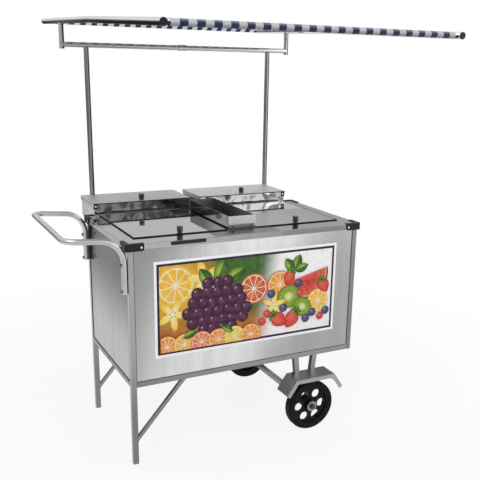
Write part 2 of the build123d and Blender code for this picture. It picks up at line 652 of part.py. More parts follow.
def make_axle():
    """Axle tube with plugged ends, the shaft through it, and a strut frame up to each rail."""
    beam = square_tube((AXLE_X, -INNER_Y, AXLE_Z), (AXLE_X, INNER_Y, AXLE_Z))
    inside = TUBE - 2 * TUBE_WALL
    for side in (-1, 1):
        beam += Pos(AXLE_X, side * (INNER_Y - BEAM_PLUG / 2), AXLE_Z) * Box(inside, BEAM_PLUG, inside)
    through = (AXLE_X, -INNER_Y, AXLE_Z), (AXLE_X, INNER_Y, AXLE_Z)
    save("axle_beam", beam - rod(*through, SHAFT_RADIUS + SHAFT_FIT))
    save("axle_shaft", rod((AXLE_X, -SHAFT_Y, AXLE_Z), (AXLE_X, SHAFT_Y, AXLE_Z), SHAFT_RADIUS))

    beam_top = AXLE_Z + TUBE / 2
    foot = beam_top + SADDLE_SHEET
    head = RAIL_TOP - STRUT_TOP_GAP
    frame = Pos(AXLE_X, INNER_Y - TUBE / 2, beam_top + SADDLE_SHEET / 2) * Box(
        SADDLE_LENGTH, TUBE, SADDLE_SHEET
    )
    for side in (-1, 1):
        foot_x = AXLE_X + side * STRUT_FOOT_SPREAD
        head_x = AXLE_X + side * STRUT_TOP_SPREAD
        for half, wall, cut in ((TUBE / 2, 0, False), (TUBE / 2 - TUBE_WALL, TUBE_WALL, True)):
            outline = [
                (foot_x - half, foot), (foot_x + half, foot), (head_x + half, head), (head_x - half, head)
            ]
            bar = prism_xz(outline, INNER_Y - TUBE + wall, INNER_Y - wall)
            frame = frame - bar if cut else frame + bar
    save("axle_struts", frame, mirror_y(frame))


def fender_line(depth):
    """The fender's bent outline at a depth under its outer face, as (x, z) points."""
    slope = atan2(FENDER_SLOPE_DROP, FENDER_SLOPE_RUN)
    bend_x = FENDER_HALF - depth * tan(slope / 2)
    end_x = FENDER_HALF + FENDER_SLOPE_RUN - depth * sin(slope)
    end_z = FENDER_TOP - FENDER_SLOPE_DROP - depth * cos(slope)
    right = [(bend_x, FENDER_TOP - depth), (end_x, end_z)]
    left = [(-x, z) for x, z in reversed(right)]
    return [(AXLE_X + x, z) for x, z in left + right]


def make_fenders():
    """Bent plates over the wheels with a turned-down outer lip."""
    plate = fender_line(0) + fender_line(FENDER_SHEET)[::-1]
    lip = fender_line(0) + fender_line(FENDER_LIP)[::-1]
    rear = prism_xz(plate, INNER_Y, FENDER_Y) + prism_xz(lip, FENDER_Y - FENDER_SHEET, FENDER_Y)
    save("fenders", rear, mirror_y(rear))


def turned(points):
    """A body of revolution about the wheels' axis from (radius, y) points."""
    outline = Pos(AXLE_X, 0, AXLE_Z) * make_face(Polyline(*points, close=True))
    return revolve(outline, WHEEL_AXIS)


def make_wheels():
    """Disc wheels with round holes, solid tyres and bushes, and what holds them on the shaft."""
    rim_radius = TYRE_INNER_RADIUS - RIM_WALL
    web_inner = WEB_OUTER_Y - WEB
    rim_inner = TYRE_INNER_Y + RIM_MARGIN
    rim_outer = TYRE_OUTER_Y - RIM_MARGIN
    bore = BUSH_RADIUS + BUSH_FIT
    wheel = turned([
        (bore, HUB_INNER_Y), (HUB_RADIUS, HUB_INNER_Y), (HUB_RADIUS, web_inner),
        (rim_radius, web_inner), (rim_radius, rim_inner), (TYRE_INNER_RADIUS, rim_inner),
        (TYRE_INNER_RADIUS, rim_outer), (rim_radius, rim_outer), (rim_radius, WEB_OUTER_Y),
        (HUB_RADIUS, WEB_OUTER_Y), (HUB_RADIUS, HUB_OUTER_Y), (bore, HUB_OUTER_Y),
    ])
    for index in range(WHEEL_HOLES):
        angle = radians(360 / WHEEL_HOLES * (index + 0.5))
        x = AXLE_X + WHEEL_HOLE_CIRCLE * sin(angle)
        z = AXLE_Z + WHEEL_HOLE_CIRCLE * cos(angle)
        wheel -= rod((x, web_inner, z), (x, WEB_OUTER_Y, z), WHEEL_HOLE_RADIUS)

    seat = TYRE_INNER_RADIUS + TYRE_FIT
    tyre = turned([
        (seat, TYRE_INNER_Y), (WHEEL_RADIUS, TYRE_INNER_Y),
        (WHEEL_RADIUS, TYRE_OUTER_Y), (seat, TYRE_OUTER_Y),
    ])
    shoulders = [edge for edge in tyre.edges().filter_by(GeomType.CIRCLE) if edge.radius > seat + TYRE_FIT]
    tyre = fillet(shoulders, TYRE_SHOULDER)
    bush_bore = SHAFT_RADIUS + SHAFT_FIT
    bush = turned([
        (bush_bore, HUB_INNER_Y), (BUSH_RADIUS, HUB_INNER_Y),
        (BUSH_RADIUS, HUB_OUTER_Y), (bush_bore, HUB_OUTER_Y),
    ])
    for name, piece in (("wheel", wheel), ("tyre", tyre), ("wheel_bush", bush)):
        save(f"rear_{name}", piece)
        save(f"front_{name}", mirror_y(piece))

    washer = turned([
        (bush_bore, WASHER_Y), (WASHER_RADIUS, WASHER_Y), (WASHER_RADIUS, NUT_Y), (bush_bore, NUT_Y)
    ])
    save("axle_washers", washer, mirror_y(washer))
    seat_plane = Plane(origin=(AXLE_X, NUT_Y, AXLE_Z), z_dir=(0, 1, 0))
    hexagon = RegularPolygon(NUT_ACROSS_FLATS / 2, 6, major_radius=False) - Circle(bush_bore)
    nut = extrude(seat_plane * hexagon, NUT_HEIGHT)
    save("axle_nuts", nut, mirror_y(nut))


def make_post_brackets():
    """Arms under the boxes that carry the sockets for the canopy's posts."""
    plate_front = FRAME_Y
    plate_rear = FRAME_Y + FOOT_PLATE
    bracket = square_tube((POST_X, plate_rear, ARM_Z), (POST_X, POST_Y, ARM_Z))
    bracket += block(POST_X - FOOT_PLATE_WIDTH / 2, POST_X + FOOT_PLATE_WIDTH / 2, plate_front, plate_rear,
                     POST_BOTTOM - FOOT_PLATE_BELOW, FRAME_TOP - TUBE_CORNER)
    socket_top = SOCKET_BOTTOM + SOCKET_DEPTH
    bracket += rod((POST_X, POST_Y, SOCKET_BOTTOM), (POST_X, POST_Y, socket_top), SOCKET_RADIUS)
    bracket -= rod((POST_X, POST_Y, POST_BOTTOM), (POST_X, POST_Y, socket_top), POST_RADIUS + SOCKET_FIT)
    save_shifted("post_brackets", bracket, mirror_x(bracket))


def canopy_cap(start, slope, way):
    """The plugged cap on an end tube's end, where the tube slopes and ends towards -Y or +Y."""
    outward = Vector(0, way * cos(slope), way * sin(slope))
    cap = rod(start, Vector(*start) + outward * END_CAP, END_TUBE_RADIUS)
    cap = chamfer(cap.faces().sort_by(Axis(start, outward))[-1].edges(), END_CAP_EDGE)
    plug_radius = END_TUBE_RADIUS - POST_WALL - SOCKET_FIT
    return cap + rod(Vector(*start) - outward * END_CAP_PLUG, start, plug_radius)


def end_tube_tip(corner, slope, reach):
    """Where an end tube ends, the reach past the roof's corner along the slope."""
    return END_TUBE_X, corner[0] + reach * cos(slope), corner[1] + reach * sin(slope)


def make_canopy():
    """Two posts, the cross bar on them, the roof frame of round tubes, and the fabric on it."""
    front_end = end_tube_tip(CANOPY_FRONT, FRONT_SLOPE, -END_TUBE_REACH)
    rear_end = end_tube_tip(CANOPY_REAR, REAR_SLOPE, END_TUBE_REACH)
    ridge = (END_TUBE_X, *CANOPY_RIDGE)
    path = FilletPolyline(front_end, ridge, rear_end, radius=CANOPY_RIDGE_BEND)
    start = Plane(origin=front_end, z_dir=Vector(*ridge) - Vector(*front_end))
    end_bar = sweep(start * Circle(END_TUBE_RADIUS), path)
    end_tube = end_bar - sweep(start * Circle(END_TUBE_RADIUS - POST_WALL), path)
    save_shifted("canopy_end_tubes", end_tube, mirror_x(end_tube))
    caps = [canopy_cap(front_end, FRONT_SLOPE, -1), canopy_cap(rear_end, REAR_SLOPE, 1)]
    save_shifted("canopy_end_caps", *caps, *[mirror_x(cap) for cap in caps])

    long_tubes = []
    for y, z in (CANOPY_FRONT, CANOPY_REAR):
        tube = pipe((-END_TUBE_X, y, z), (END_TUBE_X, y, z), LONG_TUBE_RADIUS, POST_WALL)
        long_tubes.append(tube - end_bar - mirror_x(end_bar))
    save_shifted("canopy_long_tubes", *long_tubes)

    rise = (CANOPY_REAR_RISE - CANOPY_RIDGE_RISE) / (CANOPY_REAR_REACH + CANOPY_RIDGE_REACH)
    upright_top = CANOPY_RIDGE[1] + rise * CANOPY_RIDGE_REACH - END_TUBE_RADIUS / 2
    upright = (END_TUBE_X, POST_Y, BAR_HEIGHT - UPRIGHT_BELOW_BAR), (END_TUBE_X, POST_Y, upright_top)
    bar = (0, POST_Y, BAR_HEIGHT), (END_TUBE_X, POST_Y, BAR_HEIGHT)
    half_bar = pipe(*bar, POST_RADIUS, POST_WALL) - rod(*upright, POST_RADIUS)
    half_bar += pipe(*upright, POST_RADIUS, POST_WALL) - end_bar
    half_sleeve = BAR_SLEEVE_LENGTH / 2
    sleeve_line = (-half_sleeve, POST_Y, BAR_HEIGHT), (half_sleeve, POST_Y, BAR_HEIGHT)
    sleeve = pipe(*sleeve_line, POST_RADIUS + SOCKET_FIT + BAR_SLEEVE, BAR_SLEEVE)
    save_shifted("canopy_cross_bars", half_bar, mirror_x(half_bar), sleeve)

    post = pipe((POST_X, POST_Y, POST_BOTTOM), (POST_X, POST_Y, BAR_HEIGHT), POST_RADIUS, POST_WALL)
    post -= rod(*bar, POST_RADIUS)
    save_shifted("canopy_posts", post, mirror_x(post))

    reach = LONG_TUBE_RADIUS + FABRIC_CLEAR
    under = [(y, z + reach) for y, z in (CANOPY_FRONT, CANOPY_RIDGE, CANOPY_REAR)]
    over = [(y, z + FABRIC) for y, z in reversed(under)]
    section = make_face(Polyline(*under, *over, close=True))
    for y, z in (CANOPY_FRONT, CANOPY_REAR):
        section += Pos(y, z) * (Circle(reach + FABRIC) - Circle(reach))
    fabric = extrude(Plane.YZ * section, 2 * FABRIC_HALF)
    save_shifted("canopy_fabric", Pos(-FABRIC_HALF, 0, 0) * fabric)


os.makedirs("parts", exist_ok=True)
make_legs_and_posts()
make_rails()
make_leg_braces()
make_panels()
make_deck()
make_guards()
make_lids_and_boxes()
make_tubs()
make_trough()
make_handle()
make_axle()
make_fenders()
make_wheels()
make_post_brackets()
make_canopy()
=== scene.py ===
"""Looks of a polished steel fruit salad cart.

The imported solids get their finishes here, the canopy becomes a striped cloth, the sheet on the front
panel gets a printed picture of fruit, and welds, screws, seals and stitches are added. Metres, +Z up.
"""

from __future__ import annotations

import json
import logging
import math
import random
from dataclasses import astuple, dataclass, field, replace
from enum import Enum
from typing import Iterable, Sequence

import bmesh
import bpy
from mathutils import Matrix, Vector, noise

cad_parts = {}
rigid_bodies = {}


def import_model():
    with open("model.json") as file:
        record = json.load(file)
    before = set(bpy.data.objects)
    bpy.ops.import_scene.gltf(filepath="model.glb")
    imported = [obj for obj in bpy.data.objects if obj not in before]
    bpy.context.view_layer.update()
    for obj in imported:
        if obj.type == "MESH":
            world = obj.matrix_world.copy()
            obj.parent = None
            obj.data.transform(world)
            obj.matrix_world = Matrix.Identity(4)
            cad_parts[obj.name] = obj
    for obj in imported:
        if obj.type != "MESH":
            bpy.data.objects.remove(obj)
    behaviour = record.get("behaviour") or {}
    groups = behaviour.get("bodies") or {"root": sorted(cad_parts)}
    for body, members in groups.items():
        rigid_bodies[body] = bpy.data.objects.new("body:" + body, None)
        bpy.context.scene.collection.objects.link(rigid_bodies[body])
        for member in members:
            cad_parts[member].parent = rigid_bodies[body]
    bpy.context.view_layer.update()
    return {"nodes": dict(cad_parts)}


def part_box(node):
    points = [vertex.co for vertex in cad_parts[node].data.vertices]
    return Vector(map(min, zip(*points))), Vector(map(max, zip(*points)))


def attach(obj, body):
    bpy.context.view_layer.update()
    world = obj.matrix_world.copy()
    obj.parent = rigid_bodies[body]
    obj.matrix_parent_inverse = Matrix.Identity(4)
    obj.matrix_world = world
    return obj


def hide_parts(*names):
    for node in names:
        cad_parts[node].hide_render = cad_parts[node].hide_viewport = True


LOG = logging.getLogger("fruit_cart")
ROUND = 2 * math.pi

Colour = tuple[float, float, float]
Point2 = tuple[float, float]
Range = tuple[float, float]

BLACK: Colour = (0.0, 0.0, 0.0)


class Body(Enum):
    """The moving groups of the cart that a piece can ride on."""

    CART = "cart"
    CANOPY = "canopy"


# Plain arithmetic


def steps(low: float, high: float, count: int) -> list[float]:
    """Values at an even pitch from one end to the other, with both ends."""
    return [low + (high - low) * index / count for index in range(count + 1)]


def angles(count: int) -> list[float]:
    """Directions at an even pitch all the way round, in radians."""
    return [ROUND * index / count for index in range(count)]


def centred(count: int, pitch: float) -> list[float]:
    """Values at an even pitch on both sides of nought."""
    return [(index - (count - 1) / 2) * pitch for index in range(count)]


def onward(ring: list) -> list:
    """A closed ring's entries, each with the next one in its place."""
    return ring[1:] + ring[:1]


def polar(reach: float, angle: float, squash: float = 1.0) -> Point2:
    """An offset from its length and direction, made lower by a squash."""
    return reach * math.cos(angle), reach * squash * math.sin(angle)


def clamp(value: float, high: float = 1.0) -> float:
    """A value kept between nought and a limit."""
    return min(max(value, 0.0), high)


def ease(share: float) -> float:
    """A share that starts and ends softly."""
    return share * share * (3 - 2 * share)


def blend(first: Sequence[float], second: Sequence[float], share: float) -> tuple[float, ...]:
    """A colour, or any row of numbers, between two others."""
    return tuple(a + (b - a) * share for a, b in zip(first, second))


# Node graphs


class Socket:
    """An output of a node that takes part in Python arithmetic."""

    def __init__(self, graph: Graph, output: bpy.types.NodeSocket) -> None:
        """Keep the graph and the output that this stands for."""
        self.graph = graph
        self.output = output

    def math(self, operation: str, other: Socket | float = 0.0, swap: bool = False) -> Socket:
        """Add one Math node.

        Args:
            operation: the Math node's operation.
            other: the second operand.
            swap: whether the second operand comes first.

        Returns:
            The result as a socket.
        """
        first, second = (other, self) if swap else (self, other)
        return self.graph.node("ShaderNodeMath", {"operation": operation}, {0: first, 1: second})

    def __add__(self, other: Socket | float) -> Socket:
        """Sum."""
        return self.math("ADD", other)

    def __sub__(self, other: Socket | float) -> Socket:
        """Difference."""
        return self.math("SUBTRACT", other)

    def __rsub__(self, other: float) -> Socket:
        """Difference from a number."""
        return self.math("SUBTRACT", other, swap=True)

    def __mul__(self, other: Socket | float) -> Socket:
        """Product."""
        return self.math("MULTIPLY", other)

    __radd__ = __add__
    __rmul__ = __mul__

    def sine(self) -> Socket:
        """Sine of the value in radians."""
        return self.math("SINE")

    def span(self, low: float, high: float, start: float = 0.0, end: float = 1.0) -> Socket:
        """Map a range smoothly onto another.

        Args:
            low: value that becomes start.
            high: value that becomes end.
            start: result at and below low.
            end: result at and above high.

        Returns:
            The mapped value.
        """
        inputs = {"Value": self, "From Min": low, "From Max": high, "To Min": start, "To Max": end}
        return self.graph.node("ShaderNodeMapRange", {"interpolation_type": "SMOOTHSTEP"}, inputs)


class Graph:
    """A node tree of a material, a world or a geometry group, filled through one method."""

    def __init__(self, tree: bpy.types.NodeTree) -> None:
        """Start with an empty tree."""
        self.tree = tree
        tree.nodes.clear()

    def node(
        self,
        kind: str,
        settings: dict[str, object] | None = None,
        inputs: dict[str | int, object] | None = None,
        output: str | int = 0,
    ) -> Socket | None:
        """Add a node, set it up and link it.

        Args:
            kind: Blender's name of the node's type.
            settings: the node's own properties, which are set first.
            inputs: values, sockets or lists of sockets for its inputs, by name or place.
            output: which output to hand back.

        Returns:
            The chosen output, or None for a node without outputs.
        """
        made = self.tree.nodes.new(kind)
        for name, value in (settings or {}).items():
            setattr(made, name, value)
        for key, value in (inputs or {}).items():
            for entry in value if isinstance(value, list) else [value]:
                if isinstance(entry, Socket):
                    self.tree.links.new(entry.output, made.inputs[key])
                else:
                    made.inputs[key].default_value = entry
        return Socket(self, made.outputs[output]) if made.outputs else None

    def also(self, socket: Socket, output: str | int) -> Socket:
        """Another output of a node that was made before."""
        return Socket(self, socket.output.node.outputs[output])

    def axes(self, vector: Socket) -> dict[str, Socket]:
        """The three parts of a vector, by the name of the axis."""
        split = self.node("ShaderNodeSeparateXYZ", None, {0: vector})
        return {axis: self.also(split, axis) for axis in "XYZ"}

    def mix(self, factor: Socket | float, first: object, second: object) -> Socket:
        """Blend two colours.

        Args:
            factor: share of the second colour.
            first: colour or socket at nought.
            second: colour or socket at one.

        Returns:
            The blended colour.
        """
        first = first if isinstance(first, Socket) else (*first, 1.0)
        second = second if isinstance(second, Socket) else (*second, 1.0)
        settings = {"data_type": "RGBA", "clamp_factor": True}
        return self.node("ShaderNodeMix", settings, {0: factor, 6: first, 7: second}, 2)

    def place(self, scale: Sequence[float] = (1, 1, 1), source: str = "Object") -> Socket:
        """Coordinates of the surface from an output of the coordinate node, stretched along each axis."""
        spot = self.node("ShaderNodeTexCoord", output=source)
        return self.node("ShaderNodeMapping", None, {"Vector": spot, "Scale": scale})

    def noise(
        self, scale: float, stretch: Sequence[float] = (1, 1, 1), detail: float = 3.0, grit: float = 0.55
    ) -> Socket:
        """Soft noise on object coordinates.

        Args:
            scale: blobs to a metre, roughly.
            stretch: extra scale along each axis.
            detail: octaves.
            grit: weight of each octave against the one before.

        Returns:
            A value around one half.
        """
        inputs = {"Vector": self.place(stretch), "Scale": scale, "Detail": detail, "Roughness": grit}
        return self.node("ShaderNodeTexNoise", None, inputs)

    def bump(self, height: Socket, strength: float, depth: float) -> Socket:
        """A normal from a height, with the share of the effect and the metres to one unit of height."""
        inputs = {"Strength": strength, "Distance": depth, "Height": height}
        return self.node("ShaderNodeBump", None, inputs)


class MaterialGraph(Graph):
    """The nodes of one material."""

    def __init__(self, name: str) -> None:
        """Make the material with an empty tree.

        Args:
            name: the material's name.
        """
        self.material = bpy.data.materials.new(name)
        self.material.use_nodes = True
        super().__init__(self.material.node_tree)

    def principled(self, **inputs: object) -> bpy.types.Material:
        """Close the material with a principled surface, whose inputs have underscores for spaces."""
        named = {name.replace("_", " "): value for name, value in inputs.items()}
        return self.close(self.node("ShaderNodeBsdfPrincipled", None, named))

    def close(self, surface: Socket) -> bpy.types.Material:
        """Send a surface to the output and hand back the material."""
        self.node("ShaderNodeOutputMaterial", None, {"Surface": surface})
        return self.material


# Finishes


@dataclass(frozen=True)
class Sheen:
    """A wide band on a sheet, which fades out on both sides of a leaning line.

    As a finish's sheen, the band is a painted reflection in the colour, lighter or darker than the rest;
    as its satin, it only makes the steel rougher.
    Places are metres on the cart: the line lies at the middle at the height called level.
    """

    axis: str
    middle: float
    inner: float
    outer: float
    lean: float = 0.0
    level: float = 0.7
    stray: float = 0.16

    @classmethod
    def face(cls, axis: str, node: str) -> Sheen:
        """Only the flat face at a solid's low end along an axis."""
        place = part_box(node)[0]["XYZ".index(axis)]
        return cls(axis, place, inner=0.0005, outer=0.0015, stray=0.0)

    def share(self, graph: Graph, wander: Socket) -> Socket:
        """How much of the band a spot has.

        Args:
            graph: the material's nodes.
            wander: a soft noise that makes the band's edges uneven.

        Returns:
            One on the band, nought far from it.
        """
        spot = graph.axes(graph.place())
        line = self.middle + (spot["Z"] - self.level) * self.lean
        away = (spot[self.axis] - line + (wander - 0.5) * self.stray).math("ABSOLUTE")
        return away.span(self.inner, self.outer, 1.0, 0.0)


@dataclass(frozen=True)
class PaintedFacingTone:
    """A painted tone on the faces that look one way: painted shade for dark ground mirrored in a tube,
    painted shade on one side of a strut, post or bar, and a painted highlight and glow on cloth.

    The direction's part along the axis runs from full, where that tone covers all, to none.
    A stretch can keep the tone to one part of the piece.
    """

    axis: str
    full: float
    none: float
    dark: float = 0.0
    within: Sheen | None = None

    def share(self, graph: Graph) -> Socket:
        """How much of the painted tone a face has.

        Args:
            graph: the material's nodes.

        Returns:
            One on faces that look that way, nought on the others.
        """
        way = graph.axes(graph.node("ShaderNodeNewGeometry", output="Normal"))
        share = way[self.axis].span(self.full, self.none, 1.0, 0.0)
        if self.within is not None:
            share = share * self.within.share(graph, graph.noise(1.0))
        return share


@dataclass(frozen=True)
class Steel:
    """Stainless steel, from satin tube to mirror sheet.

    The tone drifts in wide soft bands, fine lines run along the grain, and faint smears vary the gloss.
    A sheet can also have one wide band of painted reflection in its colour, upright streaks, a satin
    stretch and a slight waviness, and the faces that look one way can have painted shade in their colour.
    """

    name: str
    bright: float
    dull: float
    rough: float
    smear: float = 0.05
    band: Sequence[float] = (1.6, 1.6, 0.15)
    band_range: Range = (0.36, 0.64)
    grain: Sequence[float] = (260.0, 260.0, 3.0)
    grain_depth: float = 0.00002
    tint: Colour = (1.0, 1.0, 1.005)
    edge: float = 1.0
    # sheen paints a reflection band into the colour; facing paints shade on the faces that look one way
    sheen: Sheen | None = None
    sheen_weight: float = 0.86
    satin: Sheen | None = None
    satin_rough: float = 0.40
    facing: PaintedFacingTone | None = None
    line_range: Range = (0.35, 0.75)
    line_share: float = 0.06
    line_shade: float = 0.7
    line_rough: float = 0.02
    streak: float = 0.0
    streak_stretch: Sequence[float] = (16.0, 16.0, 0.5)
    streak_range: Range = (0.35, 0.70)
    streak_shade: float = 0.6
    smear_scale: float = 7.0
    smear_range: Range = (0.45, 0.75)
    wave: float = 0.0
    wave_scale: float = 9.0
    relief: float = 0.4

    def material(self) -> bpy.types.Material:
        """Build the finish.

        Returns:
            The material.
        """
        graph = MaterialGraph(self.name)
        drift = graph.noise(1.0, self.band, detail=1.5)
        bands = drift.span(*self.band_range)
        # painted reflection: the sheen band takes over most of the tone's drift
        if self.sheen is not None:
            band = self.sheen.share(graph, drift)
            bands = band * self.sheen_weight + bands * (1.0 - self.sheen_weight)
        lines = graph.noise(1.0, self.grain, detail=2.0)
        tone = graph.mix(bands, self._shade(self.dull), self._shade(self.bright))
        scored = lines.span(*self.line_range, 0.0, self.line_share)
        tone = graph.mix(scored, tone, self._shade(self.dull * self.line_shade))
        if self.streak:
            upright = graph.noise(1.0, self.streak_stretch, detail=3.0).span(*self.streak_range)
            tone = graph.mix(upright * self.streak, tone, self._shade(self.dull * self.streak_shade))
        # painted shade on the faces that look one way
        if self.facing is not None:
            tone = graph.mix(self.facing.share(graph), tone, self._shade(self.facing.dark))
        smears = graph.noise(self.smear_scale, detail=4.0).span(*self.smear_range)
        rough = self.rough + smears * self.smear + lines * self.line_rough
        if self.satin is not None:
            rough = rough + self.satin.share(graph, drift) * self.satin_rough
        height = lines * self.grain_depth
        if self.wave:
            height = height + graph.noise(self.wave_scale, detail=1.0) * self.wave
        return graph.principled(
            Base_Color=tone,
            Metallic=1.0,
            Roughness=rough,
            Specular_Tint=(self.edge, self.edge, self.edge, 1.0),
            Normal=graph.bump(height, self.relief, 1.0),
        )

    def _shade(self, value: float) -> Colour:
        """A grey of the given value with the finish's tint."""
        return tuple(value * part for part in self.tint)


@dataclass(frozen=True)
class Plastic:
    """Moulded plastic, rubber or paint with a fine skin and some dust on it."""

    name: str
    colour: Colour
    worn: Colour
    rough: float
    skin_scale: float = 900.0
    skin_depth: float = 0.00008
    gloss: float = 0.5
    cloud_scale: float = 16.0
    cloud_range: Range = (0.4, 0.75)
    worn_share: float = 0.55
    cloud_rough: float = 0.10
    skin_rough: float = 0.06
    relief: float = 0.5

    def material(self) -> bpy.types.Material:
        """Build the finish.

        Returns:
            The material.
        """
        graph = MaterialGraph(self.name)
        cloud = graph.noise(self.cloud_scale, detail=4.0).span(*self.cloud_range)
        skin = graph.noise(self.skin_scale, detail=2.0)
        return graph.principled(
            Base_Color=graph.mix(cloud * self.worn_share, self.colour, self.worn),
            Roughness=self.rough + cloud * self.cloud_rough + skin * self.skin_rough,
            Specular_IOR_Level=self.gloss,
            Normal=graph.bump(skin, self.relief, self.skin_depth),
        )


@dataclass(frozen=True)
class Tyre:
    """Solid black rubber with fine moulded rings round the wheel's axis."""

    name: str
    axis_x: float
    axis_z: float
    colour: Colour = (0.006, 0.006, 0.007)
    dusty: Colour = (0.014, 0.013, 0.013)
    rough: float = 0.55
    gloss: float = 0.12
    rings_per_metre: float = 180.0
    ring_weight: float = 0.6
    skin_scale: float = 700.0
    relief: float = 0.5
    relief_depth: float = 0.0002
    dust_scale: float = 22.0
    dust_range: Range = (0.42, 0.8)
    dust_share: float = 0.5
    dust_rough: float = 0.2

    def material(self) -> bpy.types.Material:
        """Build the finish.

        Returns:
            The material.
        """
        graph = MaterialGraph(self.name)
        spot = graph.axes(graph.place())
        across = spot["X"] - self.axis_x
        upward = spot["Z"] - self.axis_z
        radius = (across * across + upward * upward).math("SQRT")
        rings = (radius * (self.rings_per_metre * ROUND)).sine() * 0.5 + 0.5
        dust = graph.noise(self.dust_scale, detail=5.0).span(*self.dust_range)
        skin = graph.noise(self.skin_scale, detail=2.0)
        height = rings * self.ring_weight + skin * (1.0 - self.ring_weight)
        return graph.principled(
            Base_Color=graph.mix(dust * self.dust_share, self.colour, self.dusty),
            Roughness=self.rough + dust * self.dust_rough,
            Specular_IOR_Level=self.gloss,
            Normal=graph.bump(height, self.relief, self.relief_depth),
        )


@dataclass(frozen=True)
class Foam:
    """Rigid insulation foam with small cells."""

    name: str
    colour: Colour = (0.78, 0.70, 0.48)
    aged: Colour = (0.66, 0.58, 0.38)
    cell_scale: float = 160.0
    cell_depth: float = 0.0008
    cloud_scale: float = 9.0
    cloud_range: Range = (0.3, 0.7)
    relief: float = 0.6
    rough: float = 0.9

    def material(self) -> bpy.types.Material:
        """Build the finish.

        Returns:
            The material.
        """
        graph = MaterialGraph(self.name)
        inputs = {"Vector": graph.place(), "Scale": self.cell_scale}
        cells = graph.node("ShaderNodeTexVoronoi", None, inputs, "Distance")
        cloud = graph.noise(self.cloud_scale).span(*self.cloud_range)
        return graph.principled(
            Base_Color=graph.mix(cloud, self.colour, self.aged),
            Roughness=self.rough,
            Normal=graph.bump(cells, self.relief, self.cell_depth),
        )


@dataclass(frozen=True)
class StripedCloth:
    """Woven canopy cloth with navy stripes on white, read from the cloth's own UV map.

    The span's lower face has a painted glow from emission, and the rolled front hem has a painted
    highlight on its top and painted shade on its lower side.
    """

    name: str
    bands: int
    width: float
    length: float
    white: Colour = (0.52, 0.53, 0.545)
    white_faded: Colour = (0.46, 0.46, 0.46)
    navy: Colour = (0.010, 0.0145, 0.064)
    navy_faded: Colour = (0.018, 0.024, 0.090)
    soil: Colour = (0.14, 0.145, 0.16)
    fade_scale: float = 3.5
    fade_range: Range = (0.35, 0.75)
    fade_share: float = 0.5
    dust_scale: float = 30.0
    dust_range: Range = (0.5, 0.85)
    dust_share: float = 0.03
    threads_per_metre: float = 900.0
    weave_share: float = 0.06
    weave_depth: float = 0.0003
    weave_rough: float = 0.08
    relief: float = 0.35
    rough: float = 0.82
    gloss: float = 0.25
    fuzz: float = 0.25
    # masks of painted light: faces that look down get the painted glow and hem shade, faces that look up
    # the hem's painted highlight
    painted_underside: PaintedFacingTone = PaintedFacingTone("Z", -0.6, 0.1)
    crown: PaintedFacingTone = PaintedFacingTone("Z", 0.8, 0.1)
    front_hem: Range = (0.19, 0.21)
    # tint and share of the hem's painted highlight, share of its painted shade, and strength of the
    # painted glow
    painted_highlight_tint: Colour = (0.75, 0.82, 1.0)
    painted_highlight_share: float = 0.20
    hem_shadow: float = 0.35
    glow: float = 0.55

    def material(self) -> bpy.types.Material:
        """Build the finish.

        Returns:
            The material.
        """
        graph = MaterialGraph(self.name)
        spot = graph.axes(graph.place(source="UV"))
        odd = (spot["X"] * (self.bands / 2)).math("FRACT").math("GREATER_THAN", 0.5)
        warp = (spot["X"] * (self.width * self.threads_per_metre * ROUND)).sine()
        weft = (spot["Y"] * (self.length * self.threads_per_metre * ROUND)).sine()
        weave = warp * weft * 0.5 + 0.5
        fade = graph.noise(self.fade_scale, detail=4.0).span(*self.fade_range) * self.fade_share
        dust = graph.noise(self.dust_scale, detail=3.0).span(*self.dust_range)
        white = graph.mix(fade, self.white, self.white_faded)
        navy = graph.mix(fade, self.navy, self.navy_faded)
        tone = graph.mix(odd, white, navy)
        tone = graph.mix(weave * self.weave_share + dust * self.dust_share, tone, self.soil)
        hem = spot["Y"].span(*self.front_hem, 1.0, 0.0)
        # painted glow on the span's lower face, kept off the front hem
        painted_underside = self.painted_underside.share(graph)
        light = graph.mix(painted_underside * (1.0 - hem), BLACK, tone)
        # painted highlight on the top of the front hem
        tone = graph.mix(self.crown.share(graph) * hem * self.painted_highlight_share, tone, self.painted_highlight_tint)
        # painted shade on the lower side of the front hem
        tone = graph.mix(painted_underside * hem * self.hem_shadow, tone, BLACK)
        return graph.principled(
            Base_Color=tone,
            Roughness=self.rough + weave * self.weave_rough,
            Specular_IOR_Level=self.gloss,
            Sheen_Weight=self.fuzz,
            # painted glow: the span's lower face emits light though it is no lamp
            Emission_Color=light,
            Emission_Strength=self.glow,
            Normal=graph.bump(weave, self.relief, self.weave_depth),
        )


